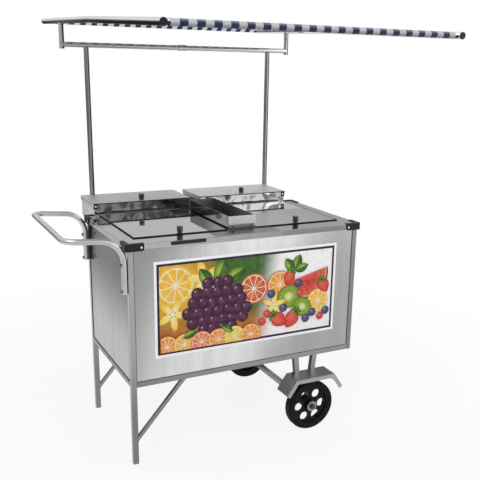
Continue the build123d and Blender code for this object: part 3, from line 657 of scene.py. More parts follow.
@dataclass(frozen=True)
class Print:
    """Gloss print that takes its colours from the mesh and mottles them a little."""

    name: str
    attribute: str
    light: Colour = (1.0, 0.93, 0.80)
    light_span: Sequence[float] = (0.45, 0.85, 0.0, 0.07)
    dark: Colour = (0.03, 0.01, 0.01)
    dark_span: Sequence[float] = (0.55, 0.15, 0.0, 0.22)
    mottle_scale: float = 42.0
    mottle_depth: float = 0.0004
    grain_scale: float = 420.0
    grain_rough: float = 0.08
    relief: float = 0.15
    rough: float = 0.26
    gloss: float = 0.2
    coat: float = 0.1
    coat_rough: float = 0.12

    def material(self) -> bpy.types.Material:
        """Build the finish.

        Returns:
            The material.
        """
        graph = MaterialGraph(self.name)
        ink = graph.node("ShaderNodeVertexColor", {"layer_name": self.attribute})
        mottle = graph.noise(self.mottle_scale, detail=4.0)
        grain = graph.noise(self.grain_scale, detail=2.0)
        tone = graph.mix(mottle.span(*self.light_span), ink, self.light)
        tone = graph.mix(mottle.span(*self.dark_span), tone, self.dark)
        return graph.principled(
            Base_Color=tone,
            Roughness=self.rough + grain * self.grain_rough,
            Specular_IOR_Level=self.gloss,
            Coat_Weight=self.coat,
            Coat_Roughness=self.coat_rough,
            Normal=graph.bump(mottle, self.relief, self.mottle_depth),
        )


Finish = Steel | Plastic | Tyre | Foam


# Helpers for meshes and pieces


def put(name: str, data: bpy.types.ID) -> bpy.types.Object:
    """Make an object and link it to the scene.

    Args:
        name: the object's name.
        data: its mesh, light or camera.

    Returns:
        The object.
    """
    thing = bpy.data.objects.new(name, data)
    bpy.context.scene.collection.objects.link(thing)
    return thing


def coat(mesh: bpy.types.Mesh, material: bpy.types.Material) -> None:
    """Give a mesh one finish all over."""
    mesh.materials.clear()
    mesh.materials.append(material)


def smooth(mesh: bpy.types.Mesh) -> None:
    """Shade every face of a mesh smooth."""
    for polygon in mesh.polygons:
        polygon.use_smooth = True


def close_shape(shape: bmesh.types.BMesh, name: str) -> bpy.types.Mesh:
    """Turn an edited shape into a mesh.

    Args:
        shape: the shape, which is freed.
        name: the mesh's name.

    Returns:
        The mesh, with its faces turned outwards.
    """
    bmesh.ops.recalc_face_normals(shape, faces=shape.faces)
    mesh = bpy.data.meshes.new(name)
    shape.to_mesh(mesh)
    shape.free()
    return mesh


def line_mesh(name: str, paths: Iterable[Sequence[Vector]], closed: bool = False) -> bpy.types.Mesh:
    """Make a mesh of edges only.

    Args:
        name: the mesh's name.
        paths: runs of points.
        closed: whether each run returns to its start.

    Returns:
        The mesh.
    """
    points: list[Vector] = []
    edges: list[tuple[int, int]] = []
    for path in paths:
        first = len(points)
        points += list(path)
        edges += [(first + i, first + i + 1) for i in range(len(path) - 1)]
        if closed:
            edges.append((len(points) - 1, first))
    mesh = bpy.data.meshes.new(name)
    mesh.from_pydata(points, edges, [])
    return mesh


def point_mesh(name: str, spots: Sequence[tuple[Vector, Vector]]) -> bpy.types.Mesh:
    """Make a mesh of loose points with a facing vector each.

    Args:
        name: the mesh's name.
        spots: pairs of place and facing.

    Returns:
        The mesh.
    """
    mesh = bpy.data.meshes.new(name)
    mesh.from_pydata([place for place, _ in spots], [], [])
    facing = mesh.attributes.new("facing", "FLOAT_VECTOR", "POINT")
    for item, (_, direction) in zip(facing.data, spots):
        item.vector = direction
    return mesh


def tinted_mesh(
    name: str,
    points: Sequence[Sequence[float]],
    faces: Sequence[Sequence[int]],
    attribute: str,
    tints: Sequence[Colour],
) -> bpy.types.Mesh:
    """Make a mesh with a colour at each point.

    Args:
        name: the mesh's name.
        points: its points.
        faces: its faces, as numbers of points.
        attribute: the name that the colours get.
        tints: one colour to a point.

    Returns:
        The mesh.
    """
    mesh = bpy.data.meshes.new(name)
    mesh.from_pydata(points, [], faces)
    layer = mesh.color_attributes.new(attribute, "FLOAT_COLOR", "POINT")
    for item, tint in zip(layer.data, tints):
        item.color = (*tint, 1.0)
    return mesh


def middle_of(node: str) -> Vector:
    """Middle of a solid's box."""
    low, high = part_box(node)
    return (low + high) / 2


def rectangle(middle: Vector, first: Vector, second: Vector) -> list[Vector]:
    """Corners of a rectangle from its middle and its two half sides, in order."""
    return [middle + a * first + b * second for a, b in ((-1, -1), (1, -1), (1, 1), (-1, 1))]


def face_rim(node: str, axis: int, side: int) -> list[Vector]:
    """Corners of one face of a solid's box.

    Args:
        node: the solid's name.
        axis: number of the axis that the face looks along.
        side: nought for the face at the axis's low end, one for its high end.

    Returns:
        The four corners in order.
    """
    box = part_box(node)
    across, upward = (number for number in range(3) if number != axis)
    corners = []
    for first, second in ((0, 0), (1, 0), (1, 1), (0, 1)):
        corner = Vector(box[side])
        corner[across] = box[first][across]
        corner[upward] = box[second][upward]
        corners.append(corner)
    return corners


def add_piece(
    name: str, mesh: bpy.types.Mesh, body: Body, material: bpy.types.Material | None = None
) -> bpy.types.Object:
    """Make an object that rides on the cart.

    Args:
        name: the piece's name.
        mesh: its shape, in place.
        body: what it moves with.
        material: its finish, where the mesh has none yet.

    Returns:
        The object.
    """
    mesh.name = name
    piece = put(name, mesh)
    if material is not None:
        coat(mesh, material)
    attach(piece, body.value)
    LOG.info("piece %s: %d faces on %s", name, len(mesh.polygons), body.value)
    return piece


# Geometry groups for what repeats


@dataclass
class Grower:
    """A geometry group with named inputs that turns a small base mesh into many shapes."""

    name: str
    inputs: dict[str, float]
    graph: Graph = field(init=False)
    tree: bpy.types.NodeTree = field(init=False)
    entry: Socket = field(init=False)

    def __post_init__(self) -> None:
        """Make the group and its inputs, then let the subclass fill it."""
        self.tree = bpy.data.node_groups.new(self.name, "GeometryNodeTree")
        self.graph = Graph(self.tree)
        sockets = [("Geometry", "INPUT", "Geometry")]
        sockets += [(label, "INPUT", "Float") for label in self.inputs]
        sockets += [("Material", "INPUT", "Material"), ("Geometry", "OUTPUT", "Geometry")]
        for label, way, kind in sockets:
            self.tree.interface.new_socket(label, in_out=way, socket_type=f"NodeSocket{kind}")
        self.entry = self.graph.node("NodeGroupInput", output="Geometry")
        grown = self.graph.node("GeometryNodeRealizeInstances", None, {"Geometry": self.fill()})
        inputs = {"Geometry": grown, "Material": self.value("Material")}
        dressed = self.graph.node("GeometryNodeSetMaterial", None, inputs)
        self.graph.node("NodeGroupOutput", None, {"Geometry": dressed})

    def value(self, label: str) -> Socket:
        """A named input of the group."""
        return self.graph.also(self.entry, label)

    def fill(self) -> Socket:
        """Add the nodes between the base mesh and its instances, and hand back the result."""
        raise NotImplementedError

    def triple(self, x: Socket | float, y: Socket | float, z: Socket | float) -> Socket:
        """A vector from three values."""
        return self.graph.node("ShaderNodeCombineXYZ", None, {0: x, 1: y, 2: z})

    def line(self) -> Socket:
        """The base mesh's edges as curves."""
        return self.graph.node("GeometryNodeMeshToCurve", None, {"Mesh": self.entry})

    def stamped(self, points: Socket, shape: Socket, facing: Socket, axis: str, scale: Socket) -> Socket:
        """Put a shape on points.

        Args:
            points: where it goes.
            shape: what goes there.
            facing: direction that one of its axes takes.
            axis: that axis.
            scale: size along its own axes.

        Returns:
            The instances.
        """
        turn = self.graph.node("FunctionNodeAlignRotationToVector", {"axis": axis}, {"Vector": facing})
        inputs = {"Points": points, "Instance": shape, "Rotation": turn, "Scale": scale}
        return self.graph.node("GeometryNodeInstanceOnPoints", None, inputs)

    def beads(self, segments: int, rings: int, scale: Socket) -> Socket:
        """Put a bead at every pitch along the edges.

        Args:
            segments: its faces round the middle.
            rings: its faces from pole to pole.
            scale: half its size along the edge and across it.

        Returns:
            The instances.
        """
        inputs = {"Curve": self.line(), "Length": self.value("Pitch")}
        even = self.graph.node("GeometryNodeResampleCurve", {"mode": "LENGTH"}, inputs)
        points = self.graph.node("GeometryNodeCurveToPoints", {"mode": "EVALUATED"}, {"Curve": even})
        inputs = {"Segments": segments, "Rings": rings, "Radius": 1.0}
        bead = self.graph.node("GeometryNodeMeshUVSphere", None, inputs)
        return self.stamped(points, bead, self.graph.also(points, "Tangent"), "X", scale)

    def run(self, base: bpy.types.Mesh, material: bpy.types.Material) -> bpy.types.Mesh:
        """Grow the shapes and hand them back as a plain mesh.

        Args:
            base: mesh that the group starts from.
            material: finish of the result.

        Returns:
            A new mesh with nothing live on it.
        """
        holder = put(f"{self.name}_base", base)
        modifier = holder.modifiers.new("grow", "NODES")
        modifier.node_group = self.tree
        values: dict[str, object] = {**self.inputs, "Material": material}
        for item in self.tree.interface.items_tree:
            if item.in_out == "INPUT" and item.name in values:
                modifier[item.identifier] = values[item.name]
        graph = bpy.context.evaluated_depsgraph_get()
        mesh = bpy.data.meshes.new_from_object(holder.evaluated_get(graph))
        bpy.data.objects.remove(holder)
        return mesh


class StitchRun(Grower):
    """Short threads, one behind the other, along edges."""

    facets: tuple[int, int] = (6, 4)

    def fill(self) -> Socket:
        """Lay a slim thread at every pitch."""
        half, radius = self.value("Stitch Length") * 0.5, self.value("Thread Radius")
        return self.beads(*self.facets, self.triple(half, radius, radius))


class WeldRun(Grower):
    """Overlapping scales of weld metal along edges, a little uneven."""

    least: float = 0.8
    most: float = 1.2
    flat: float = 0.75
    facets: tuple[int, int] = (8, 5)
    seed: int = 7

    def fill(self) -> Socket:
        """Set a flattened drop of random size at every pitch.

        Returns:
            The drops.
        """
        inputs = {2: self.least, 3: self.most, "Seed": self.seed}
        chance = self.graph.node("FunctionNodeRandomValue", {"data_type": "FLOAT"}, inputs, 1)
        size = chance * self.value("Bead Radius")
        return self.beads(*self.facets, self.triple(size * self.flat, size, size))


class SealRun(Grower):
    """A round bead of sealant along edges."""

    sides: int = 8

    def fill(self) -> Socket:
        """Sweep a small circle along the edges.

        Returns:
            The bead.
        """
        inputs = {"Resolution": self.sides, "Radius": self.value("Bead Radius")}
        ring = self.graph.node("GeometryNodeCurvePrimitiveCircle", None, inputs)
        inputs = {"Curve": self.line(), "Profile Curve": ring}
        return self.graph.node("GeometryNodeCurveToMesh", None, inputs)


class HeadSet(Grower):
    """Screw heads with a driving bar, on points that have a facing vector each."""

    sides: int = 20
    top: float = 0.72
    bar: tuple[float, float, float] = (1.2, 0.2, 0.3)

    def fill(self) -> Socket:
        """Make one head from a cone and a raised bar, and put it on every point.

        Returns:
            The heads.
        """
        graph = self.graph
        reach, tall = self.value("Head Radius"), self.value("Head Height")
        radii = {"Radius Top": reach * self.top, "Radius Bottom": reach}
        head = graph.node("GeometryNodeMeshCone", None, {"Vertices": self.sides, "Depth": tall, **radii})
        length, width, height = self.bar
        size = self.triple(reach * length, reach * width, tall * height)
        bar = graph.node("GeometryNodeMeshCube", None, {"Size": size})
        inputs = {"Geometry": bar, "Translation": self.triple(0.0, 0.0, tall)}
        bar = graph.node("GeometryNodeTransform", None, inputs)
        both = graph.node("GeometryNodeJoinGeometry", None, {0: [bar, head]})
        points = graph.node("GeometryNodeMeshToPoints", None, {"Mesh": self.entry})
        settings = {"data_type": "FLOAT_VECTOR"}
        facing = graph.node("GeometryNodeInputNamedAttribute", settings, {"Name": "facing"})
        return self.stamped(points, both, facing, "Z", self.triple(1.0, 1.0, 1.0))


# The canopy's cloth


@dataclass
class Canopy:
    """One striped cloth stretched between the two long tubes, with a sewn hem round each."""

    stripes: int = 19
    tube_radius: float = 0.011
    cloth_gap: float = 0.0009
    thickness: float = 0.0009
    ridge_reach: float = 0.875
    ridge_height: float = 0.0075
    ridge_ends: float = 0.3
    sag: float = 0.002
    hem_flap: float = 0.034
    hem_angle: float = 38.0
    flap_drop: float = 2.2
    columns_per_band: int = 5
    span_rows: int = 64
    hem_rows: int = 18
    ripple: float = 0.0008
    ripple_scale: tuple[float, float] = (9.0, 2.2)
    ripple_seed: float = 0.3
    stitch_pitch: float = 0.0075
    stitch_length: float = 0.0048
    thread_radius: float = 0.0006
    hem_seams: tuple[float, float] = (0.020, 0.030)
    side_seam: float = 0.012
    seam_points: tuple[int, int] = (80, 60)
    front: Vector = field(init=False)
    rear: Vector = field(init=False)
    left: float = field(init=False)
    right: float = field(init=False)
    wrap: float = field(init=False)

    def build(self) -> None:
        """Make the cloth and its stitches."""
        low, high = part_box("canopy_long_tubes")
        cloth_low, cloth_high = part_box("canopy_fabric")
        self.front = Vector((0, low.y + self.tube_radius, low.z + self.tube_radius))
        self.rear = Vector((0, high.y - self.tube_radius, high.z - self.tube_radius))
        self.left, self.right = cloth_low.x, cloth_high.x
        self.wrap = self.tube_radius + self.cloth_gap
        width, length = self.right - self.left, self._profile_length()
        cloth = self._cloth()
        stitches = self._stitches()
        LOG.info("cloth cut %.3f by %.3f m", width, length)

    def _span_z(self, x: float, y: float) -> float:
        """Height of the cloth between the tubes.

        Args:
            x: place across the cart.
            y: place from front to rear.

        Returns:
            The height of the middle of the cloth.
        """
        depth = self.rear.y - self.front.y
        share = (y - self.front.y) / depth
        line = self.front.z + share * (self.rear.z - self.front.z) + self.wrap
        middle = (self.left + self.right) / 2
        side = min(1.0, abs(x - middle) / ((self.right - self.left) / 2))
        ridge = self.ridge_reach / depth
        peak = ease(share / ridge if share < ridge else (1 - share) / (1 - ridge))
        held = 1 - self.ridge_ends + self.ridge_ends * side * side
        hang = 4 * share * (1 - share)
        spot = Vector((x * self.ripple_scale[0], y * self.ripple_scale[1], self.ripple_seed))
        flutter = self.ripple * hang * noise.noise(spot)
        return line + self.ridge_height * peak * held - self.sag * hang * (1 - side**4) + flutter

    def _spot(self, x: float, y: float, lift: float = 0.0) -> Vector:
        """A point of the cloth between the tubes, or over it."""
        return Vector((x, y, self._span_z(x, y) + lift))

    def _round(self, tube: Vector, x: float, angle: float) -> Vector:
        """A point of the hem round a tube."""
        return Vector((x, tube.y + self.wrap * math.cos(angle), tube.z + self.wrap * math.sin(angle)))

    def _profile(self, x: float) -> list[Vector]:
        """The cloth's section at one place across.

        Args:
            x: place across the cart.

        Returns:
            Points from the front flap to the rear flap.
        """
        turn = math.radians(self.hem_angle)
        drop = -self.flap_drop * self.thickness
        points = [self._spot(x, self.front.y + self.hem_flap, drop)]
        front_arc = steps(turn, -1.5 * math.pi, self.hem_rows)
        rear_arc = steps(math.pi / 2, turn - math.pi, self.hem_rows)
        points += [self._round(self.front, x, angle) for angle in front_arc]
        points += [self._spot(x, y) for y in steps(self.front.y, self.rear.y, self.span_rows)[1:-1]]
        points += [self._round(self.rear, x, angle) for angle in rear_arc]
        points.append(self._spot(x, self.rear.y - self.hem_flap, drop))
        return points

    def _profile_length(self) -> float:
        """Length of the cloth along its section in the middle."""
        points = self._profile((self.left + self.right) / 2)
        return sum((b - a).length for a, b in zip(points, points[1:]))

    def _cloth(self) -> bpy.types.Object:
        """The cloth as one continuous sheet with a real thickness.

        Returns:
            The piece.
        """
        bands = 2 * self.stripes + 1
        columns = bands * self.columns_per_band
        shape = bmesh.new()
        uv_layer = shape.loops.layers.uv.new("UVMap")
        grid = []
        for x in steps(self.left, self.right, columns):
            grid.append([shape.verts.new(point) for point in self._profile(x)])
        rows = len(grid[0]) - 1
        for column in range(columns):
            for row in range(rows):
                corners = [(column, row), (column + 1, row), (column + 1, row + 1), (column, row + 1)]
                face = shape.faces.new([grid[c][r] for c, r in corners])
                for loop, (c, r) in zip(face.loops, corners):
                    loop[uv_layer].uv = (c / columns, r / rows)
        mesh = close_shape(shape, "canopy_cloth")
        smooth(mesh)
        finish = StripedCloth("striped_cloth", bands, self.right - self.left, self._profile_length())
        piece = add_piece("canopy_cloth", mesh, Body.CANOPY, finish.material())
        wall = piece.modifiers.new("cloth", "SOLIDIFY")
        wall.thickness = self.thickness
        wall.offset = 0.0
        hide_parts("canopy_fabric")
        return piece

    def _stitches(self) -> bpy.types.Object:
        """Two rows of stitches along each hem and one along each side edge.

        Returns:
            The piece.
        """
        lift = self.thickness / 2
        across, along = self.seam_points
        xs = steps(self.left, self.right, across)
        ys = steps(self.front.y, self.rear.y, along)
        seams = [self.front.y + inset for inset in self.hem_seams]
        seams += [self.rear.y - inset for inset in self.hem_seams]
        paths = [[self._spot(x, y, lift) for x in xs] for y in seams]
        for x in (self.left + self.side_seam, self.right - self.side_seam):
            paths.append([self._spot(x, y, lift) for y in ys])
        sizes = {
            "Pitch": self.stitch_pitch,
            "Stitch Length": self.stitch_length,
            "Thread Radius": self.thread_radius,
        }
        thread = Plastic("thread", (0.72, 0.72, 0.72), (0.60, 0.60, 0.60), 0.7, skin_scale=2500.0)
        mesh = StitchRun("stitch_run", sizes).run(line_mesh("hem_lines", paths), thread.material())
        return add_piece("hem_stitches", mesh, Body.CANOPY)


# The printed picture


class Ink(tuple, Enum):
    """Inks of the picture, as linear colours."""

    WHITE = (0.97, 0.97, 0.96)
    PAPER_SHADE = (0.74, 0.72, 0.72)
    PLUM = (0.024, 0.005, 0.050)
    PURPLE = (0.035, 0.005, 0.024)
    VIOLET = (0.135, 0.028, 0.095)
    GRAPE_SHINE = (0.62, 0.45, 0.55)
    BLUEBERRY = (0.035, 0.040, 0.110)
    BLOOM = (0.12, 0.13, 0.26)
    BLOOM_SHINE = (0.60, 0.62, 0.72)
    RED = (0.560, 0.022, 0.028)
    RED_SHINE = (0.92, 0.70, 0.66)
    CORAL = (0.800, 0.130, 0.090)
    ORANGE = (0.860, 0.260, 0.020)
    AMBER = (0.900, 0.470, 0.040)
    YELLOW = (0.900, 0.700, 0.090)
    CREAM = (0.880, 0.800, 0.560)
    LIME = (0.420, 0.560, 0.060)
    LEAF = (0.065, 0.200, 0.018)
    SHADE = (0.018, 0.060, 0.010)
    BARK = (0.170, 0.060, 0.020)
    SEED = (0.030, 0.014, 0.010)


@dataclass(frozen=True)
class Spot:
    """A place in the picture, with the size and the turn of what is drawn there."""

    x: float
    y: float
    size: float
    turn: float = 0.0

    def at(self, offset: Point2 = (0.0, 0.0)) -> Point2:
        """A point at an offset that counts in sizes and turns along."""
        c, s = self.size * math.cos(self.turn), self.size * math.sin(self.turn)
        return self.x + offset[0] * c - offset[1] * s, self.y + offset[0] * s + offset[1] * c

    def part(self, offset: Point2 = (0.0, 0.0), turn: float = 0.0, size: float = 1.0) -> Spot:
        """A spot at such an offset, turned further, with a share of the size."""
        return Spot(*self.at(offset), self.size * size, self.turn + turn)


@dataclass
class Canvas:
    """The printed field, on which shapes lie over each other in thin layers of ink.

    Places are metres from its lower left corner.
    """

    left: float
    foot: float
    front: float
    width: float
    height: float
    layer: float
    level: int = 0
    points: list[Vector] = field(default_factory=list)
    faces: list[tuple[int, ...]] = field(default_factory=list)
    inks: list[Colour] = field(default_factory=list)

    def rise(self) -> None:
        """Start the next layer."""
        self.level += 1

    def lay(self, point: Point2, ink: Colour) -> int:
        """Add a point on the present layer.

        Args:
            point: its place, on the field or outside it.
            ink: its colour.

        Returns:
            Its number.
        """
        out = self.front - self.level * self.layer
        self.points.append(Vector((self.left + point[0], out, self.foot + point[1])))
        self.inks.append(ink)
        return len(self.points) - 1

    def add(self, point: Point2, ink: Colour) -> int:
        """Add a point that is kept within the field's edges, and hand back its number."""
        return self.lay((clamp(point[0], self.width), clamp(point[1], self.height)), ink)

    def fan(self, middle: Point2, rim: Sequence[Point2], inner: Colour, outer: Colour) -> None:
        """Fill an outline on the present layer, shaded from a middle point out to its rim.

        Args:
            middle: the point with the inner ink.
            rim: points of the outline, with the outer ink.
            inner: ink of the middle.
            outer: ink of the rim.
        """
        centre = self.add(middle, inner)
        ring = [self.add(point, outer) for point in rim]
        self.faces += [(centre, a, b) for a, b in zip(ring, onward(ring))]

    def oval(
        self,
        spot: Spot,
        inner: Colour,
        outer: Colour,
        squash: float = 1.0,
        shift: Point2 = (0.0, 0.0),
        count: int = 28,
    ) -> None:
        """Draw a round or oval shape on a new layer.

        Args:
            spot: its middle, radius and turn.
            inner: ink of its light point.
            outer: ink of its rim.
            squash: its height against its width.
            shift: place of the light point, in radii.
            count: points of the rim.
        """
        self.rise()
        rim = [spot.at(polar(1.0, angle, squash)) for angle in angles(count)]
        self.fan(spot.at(shift), rim, inner, outer)

    def pip(self, spot: Spot, shape: Point2, ink: Colour) -> None:
        """Draw a small pip on the present layer.

        Args:
            spot: its middle, size and turn.
            shape: half its length and half its width, in sizes.
            ink: its colour.
        """
        length, width = shape
        corners = ((length, 0.0), (0.0, width), (-length, 0.0), (0.0, -width))
        self.fan(spot.at(), [spot.at(corner) for corner in corners], ink, ink)


class Motif:
    """Something drawn in the picture, whose lengths are shares of the size of its spot."""

    def draw(self, canvas: Canvas, spot: Spot) -> None:
        """Draw it in layers of ink.

        Args:
            canvas: the printed field.
            spot: its place, size and turn.
        """
        raise NotImplementedError


Placed = tuple[Motif, Spot]


@dataclass(frozen=True)
class Citrus(Motif):
    """A cut slice of citrus: rind, pith and segments."""

    rind: Colour
    flesh: Colour
    segments: int = 10
    rim_points: int = 40
    rind_shade: float = 0.18
    pith: float = 0.91
    pith_shade: float = 0.25
    flesh_light: float = 0.35
    wedge_foot: float = 0.10
    wedge_middle: float = 0.5
    wedge_reach: float = 0.84
    wedge_round: float = 0.05
    wedge_gap: float = 0.07
    wedge_steps: int = 6

    def draw(self, canvas: Canvas, spot: Spot) -> None:
        """Draw two discs and the segments on them.

        Args:
            canvas: the printed field.
            spot: its middle, radius and turn.
        """
        whole = replace(spot, turn=0.0)
        canvas.oval(whole, self.rind, blend(self.rind, Ink.BARK, self.rind_shade), count=self.rim_points)
        pale = blend(Ink.CREAM, self.rind, self.pith_shade)
        canvas.oval(whole.part(size=self.pith), Ink.CREAM, pale, count=self.rim_points)
        canvas.rise()
        light = blend(self.flesh, Ink.YELLOW, self.flesh_light)
        wedge = ROUND / self.segments
        for start in angles(self.segments):
            middle = start + wedge / 2
            rim = [spot.at(polar(self.wedge_foot, middle))]
            for share in steps(-1.0, 1.0, self.wedge_steps):
                reach = self.wedge_reach - self.wedge_round * abs(share)
                rim.append(spot.at(polar(reach, middle + wedge * (0.5 - self.wedge_gap) * share)))
            canvas.fan(spot.at(polar(self.wedge_middle, middle)), rim, light, self.flesh)


@dataclass(frozen=True)
class Kiwi(Motif):
    """A cut slice of kiwi with its ring of seeds, seen at a slant."""

    squash: float
    rim_points: int = 36
    flesh: float = 0.94
    flesh_shade: float = 0.7
    core: float = 0.40
    seeds: int = 22
    seed_ring: float = 0.46
    seed_stagger: float = 0.08
    seed: Point2 = (0.055, 0.022)

    def draw(self, canvas: Canvas, spot: Spot) -> None:
        """Draw skin, flesh and core, and the seeds on them.

        Args:
            canvas: the printed field.
            spot: its middle, radius and turn.
        """
        canvas.oval(spot, Ink.LEAF, Ink.BARK, self.squash, count=self.rim_points)
        rim = blend(Ink.LIME, Ink.LEAF, self.flesh_shade)
        canvas.oval(spot.part(size=self.flesh), Ink.LIME, rim, self.squash)
        canvas.oval(spot.part(size=self.core), Ink.CREAM, Ink.LIME, self.squash)
        canvas.rise()
        for index, angle in enumerate(angles(self.seeds)):
            reach = self.seed_ring + self.seed_stagger * (index % 2)
            canvas.pip(spot.part(polar(reach, angle, self.squash), angle), self.seed, Ink.SEED)


@dataclass(frozen=True)
class Melon(Motif):
    """A half round wedge of watermelon, whose spot is the middle of its straight side."""

    bands: tuple[tuple[float, Colour, Colour], ...] = (
        (1.00, Ink.LEAF, Ink.SHADE),
        (0.94, Ink.CREAM, Ink.LIME),
        (0.88, Ink.CORAL, Ink.CORAL),
        (0.84, Ink.RED, Ink.CORAL),
    )
    rim_steps: int = 24
    light_drop: float = 0.35
    pip_rings: tuple[tuple[float, int], ...] = ((0.42, 5), (0.66, 8))
    pip: Point2 = (0.05, 0.026)

    def draw(self, canvas: Canvas, spot: Spot) -> None:
        """Draw rind, pale band and flesh, and the pips on them.

        Args:
            canvas: the printed field.
            spot: the middle of its straight side, its radius and its turn.
        """
        for share, inner, outer in self.bands:
            canvas.rise()
            rim = [spot.at(polar(share, -angle)) for angle in steps(0.0, math.pi, self.rim_steps)]
            canvas.fan(spot.at((0.0, -self.light_drop * share)), rim, inner, outer)
        canvas.rise()
        for ring, count in self.pip_rings:
            for index in range(count):
                angle = -math.pi * (index + 0.5) / count
                canvas.pip(spot.part(polar(ring, angle), angle), self.pip, Ink.SEED)


@dataclass(frozen=True)
class Berry(Motif):
    """A round berry or grape with a soft light side and a small highlight."""

    dark: Colour
    light: Colour
    shine: Colour
    rim_points: int = 24
    light_at: Point2 = (-0.30, 0.34)
    glint_at: Point2 = (-0.34, 0.40)
    glint_turn: float = 0.7
    glint_size: float = 0.20
    glint_squash: float = 0.7
    glint_fade: float = 0.75
    glint_points: int = 12

    def draw(self, canvas: Canvas, spot: Spot) -> None:
        """Draw the berry and its highlight.

        Args:
            canvas: the printed field.
            spot: its middle, radius and turn.
        """
        canvas.oval(spot, self.light, self.dark, shift=self.light_at, count=self.rim_points)
        glint = spot.part(self.glint_at, self.glint_turn, self.glint_size)
        rim = blend(self.shine, self.light, self.glint_fade)
        canvas.oval(glint, self.shine, rim, self.glint_squash, count=self.glint_points)


@dataclass(frozen=True)
class Leaf(Motif):
    """A leaf in two tones, whose spot is its foot. Half its width is in metres."""

    half_width: float
    rim_steps: int = 8
    fullness: float = 0.8
    light_at: Point2 = (0.45, 0.25)

    def draw(self, canvas: Canvas, spot: Spot) -> None:
        """Draw both halves, with the midrib between them.

        Args:
            canvas: the printed field.
            spot: its foot, length and direction.
        """
        canvas.rise()
        wide = self.half_width / spot.size
        along, beside = self.light_at
        for side, inner, outer in ((wide, Ink.LIME, Ink.LEAF), (-wide, Ink.LEAF, Ink.SHADE)):
            rim = []
            for share in steps(0.0, 1.0, self.rim_steps):
                rim.append(spot.at((share, side * math.sin(math.pi * share) ** self.fullness)))
            canvas.fan(spot.at((along, beside * side)), rim, inner, outer)


@dataclass(frozen=True)
class Strawberry(Motif):
    """A whole strawberry with pips and a leafy crown."""

    rim_points: int = 32
    half_width: float = 0.86
    taper: float = 0.42
    taper_power: float = 1.5
    below: float = 1.18
    above: float = 0.82
    light_at: Point2 = (-0.25, 0.25)
    pip_rows: tuple[tuple[float, int], ...] = ((0.35, 4), (0.0, 5), (-0.35, 4), (-0.70, 2))
    pip_pitch: float = 0.30
    pip: Point2 = (0.055, 0.028)
    crown_at: Point2 = (0.0, 0.72)
    crown_leaves: int = 5
    crown_spread: float = 0.75
    leaf_length: float = 0.75
    leaf_half_width: float = 0.20

    def draw(self, canvas: Canvas, spot: Spot) -> None:
        """Draw the fruit, its pips in rows, and the crown's leaves fanned out over it.

        Args:
            canvas: the printed field.
            spot: its middle, size and turn.
        """
        canvas.rise()
        rim = [spot.at(self._edge(angle)) for angle in angles(self.rim_points)]
        canvas.fan(spot.at(self.light_at), rim, Ink.CORAL, Ink.RED)
        canvas.rise()
        upright = math.pi / 2
        for row, count in self.pip_rows:
            for x in centred(count, self.pip_pitch):
                canvas.pip(spot.part((x, row), upright), self.pip, Ink.YELLOW)
        leaf = Leaf(self.leaf_half_width * spot.size)
        for turn in centred(self.crown_leaves, self.crown_spread):
            leaf.draw(canvas, spot.part(self.crown_at, upright + turn, self.leaf_length))

    def _edge(self, angle: float) -> Point2:
        """A point of the outline, which narrows towards the tip.

        Args:
            angle: its direction from the middle.

        Returns:
            Its offset in sizes.
        """
        x, y = polar(1.0, angle)
        narrow = self.half_width * (1.0 - self.taper * max(0.0, -y) ** self.taper_power)
        return narrow * x, (self.below if y < 0 else self.above) * y


@dataclass(frozen=True)
class StarFruit(Motif):
    """A cut slice of star fruit."""

    arms: int = 5
    points_per_arm: int = 8
    waist: float = 0.68
    flesh: float = 0.86
    seed_ring: float = 0.16
    seed: Point2 = (0.07, 0.03)

    def draw(self, canvas: Canvas, spot: Spot) -> None:
        """Draw skin and flesh, and a seed between each two arms.

        Args:
            canvas: the printed field.
            spot: its middle, radius and turn.
        """
        for share, inner, outer in ((1.0, Ink.YELLOW, Ink.AMBER), (self.flesh, Ink.CREAM, Ink.YELLOW)):
            canvas.rise()
            rim = []
            for angle in angles(self.points_per_arm * self.arms):
                reach = self.waist + (1.0 - self.waist) * math.cos(self.arms * angle)
                rim.append(spot.at(polar(share * reach, angle)))
            canvas.fan(spot.at(), rim, inner, outer)
        canvas.rise()
        for start in angles(self.arms):
            angle = start + math.pi / self.arms
            canvas.pip(spot.part(polar(self.seed_ring, angle), angle), self.seed, Ink.BARK)


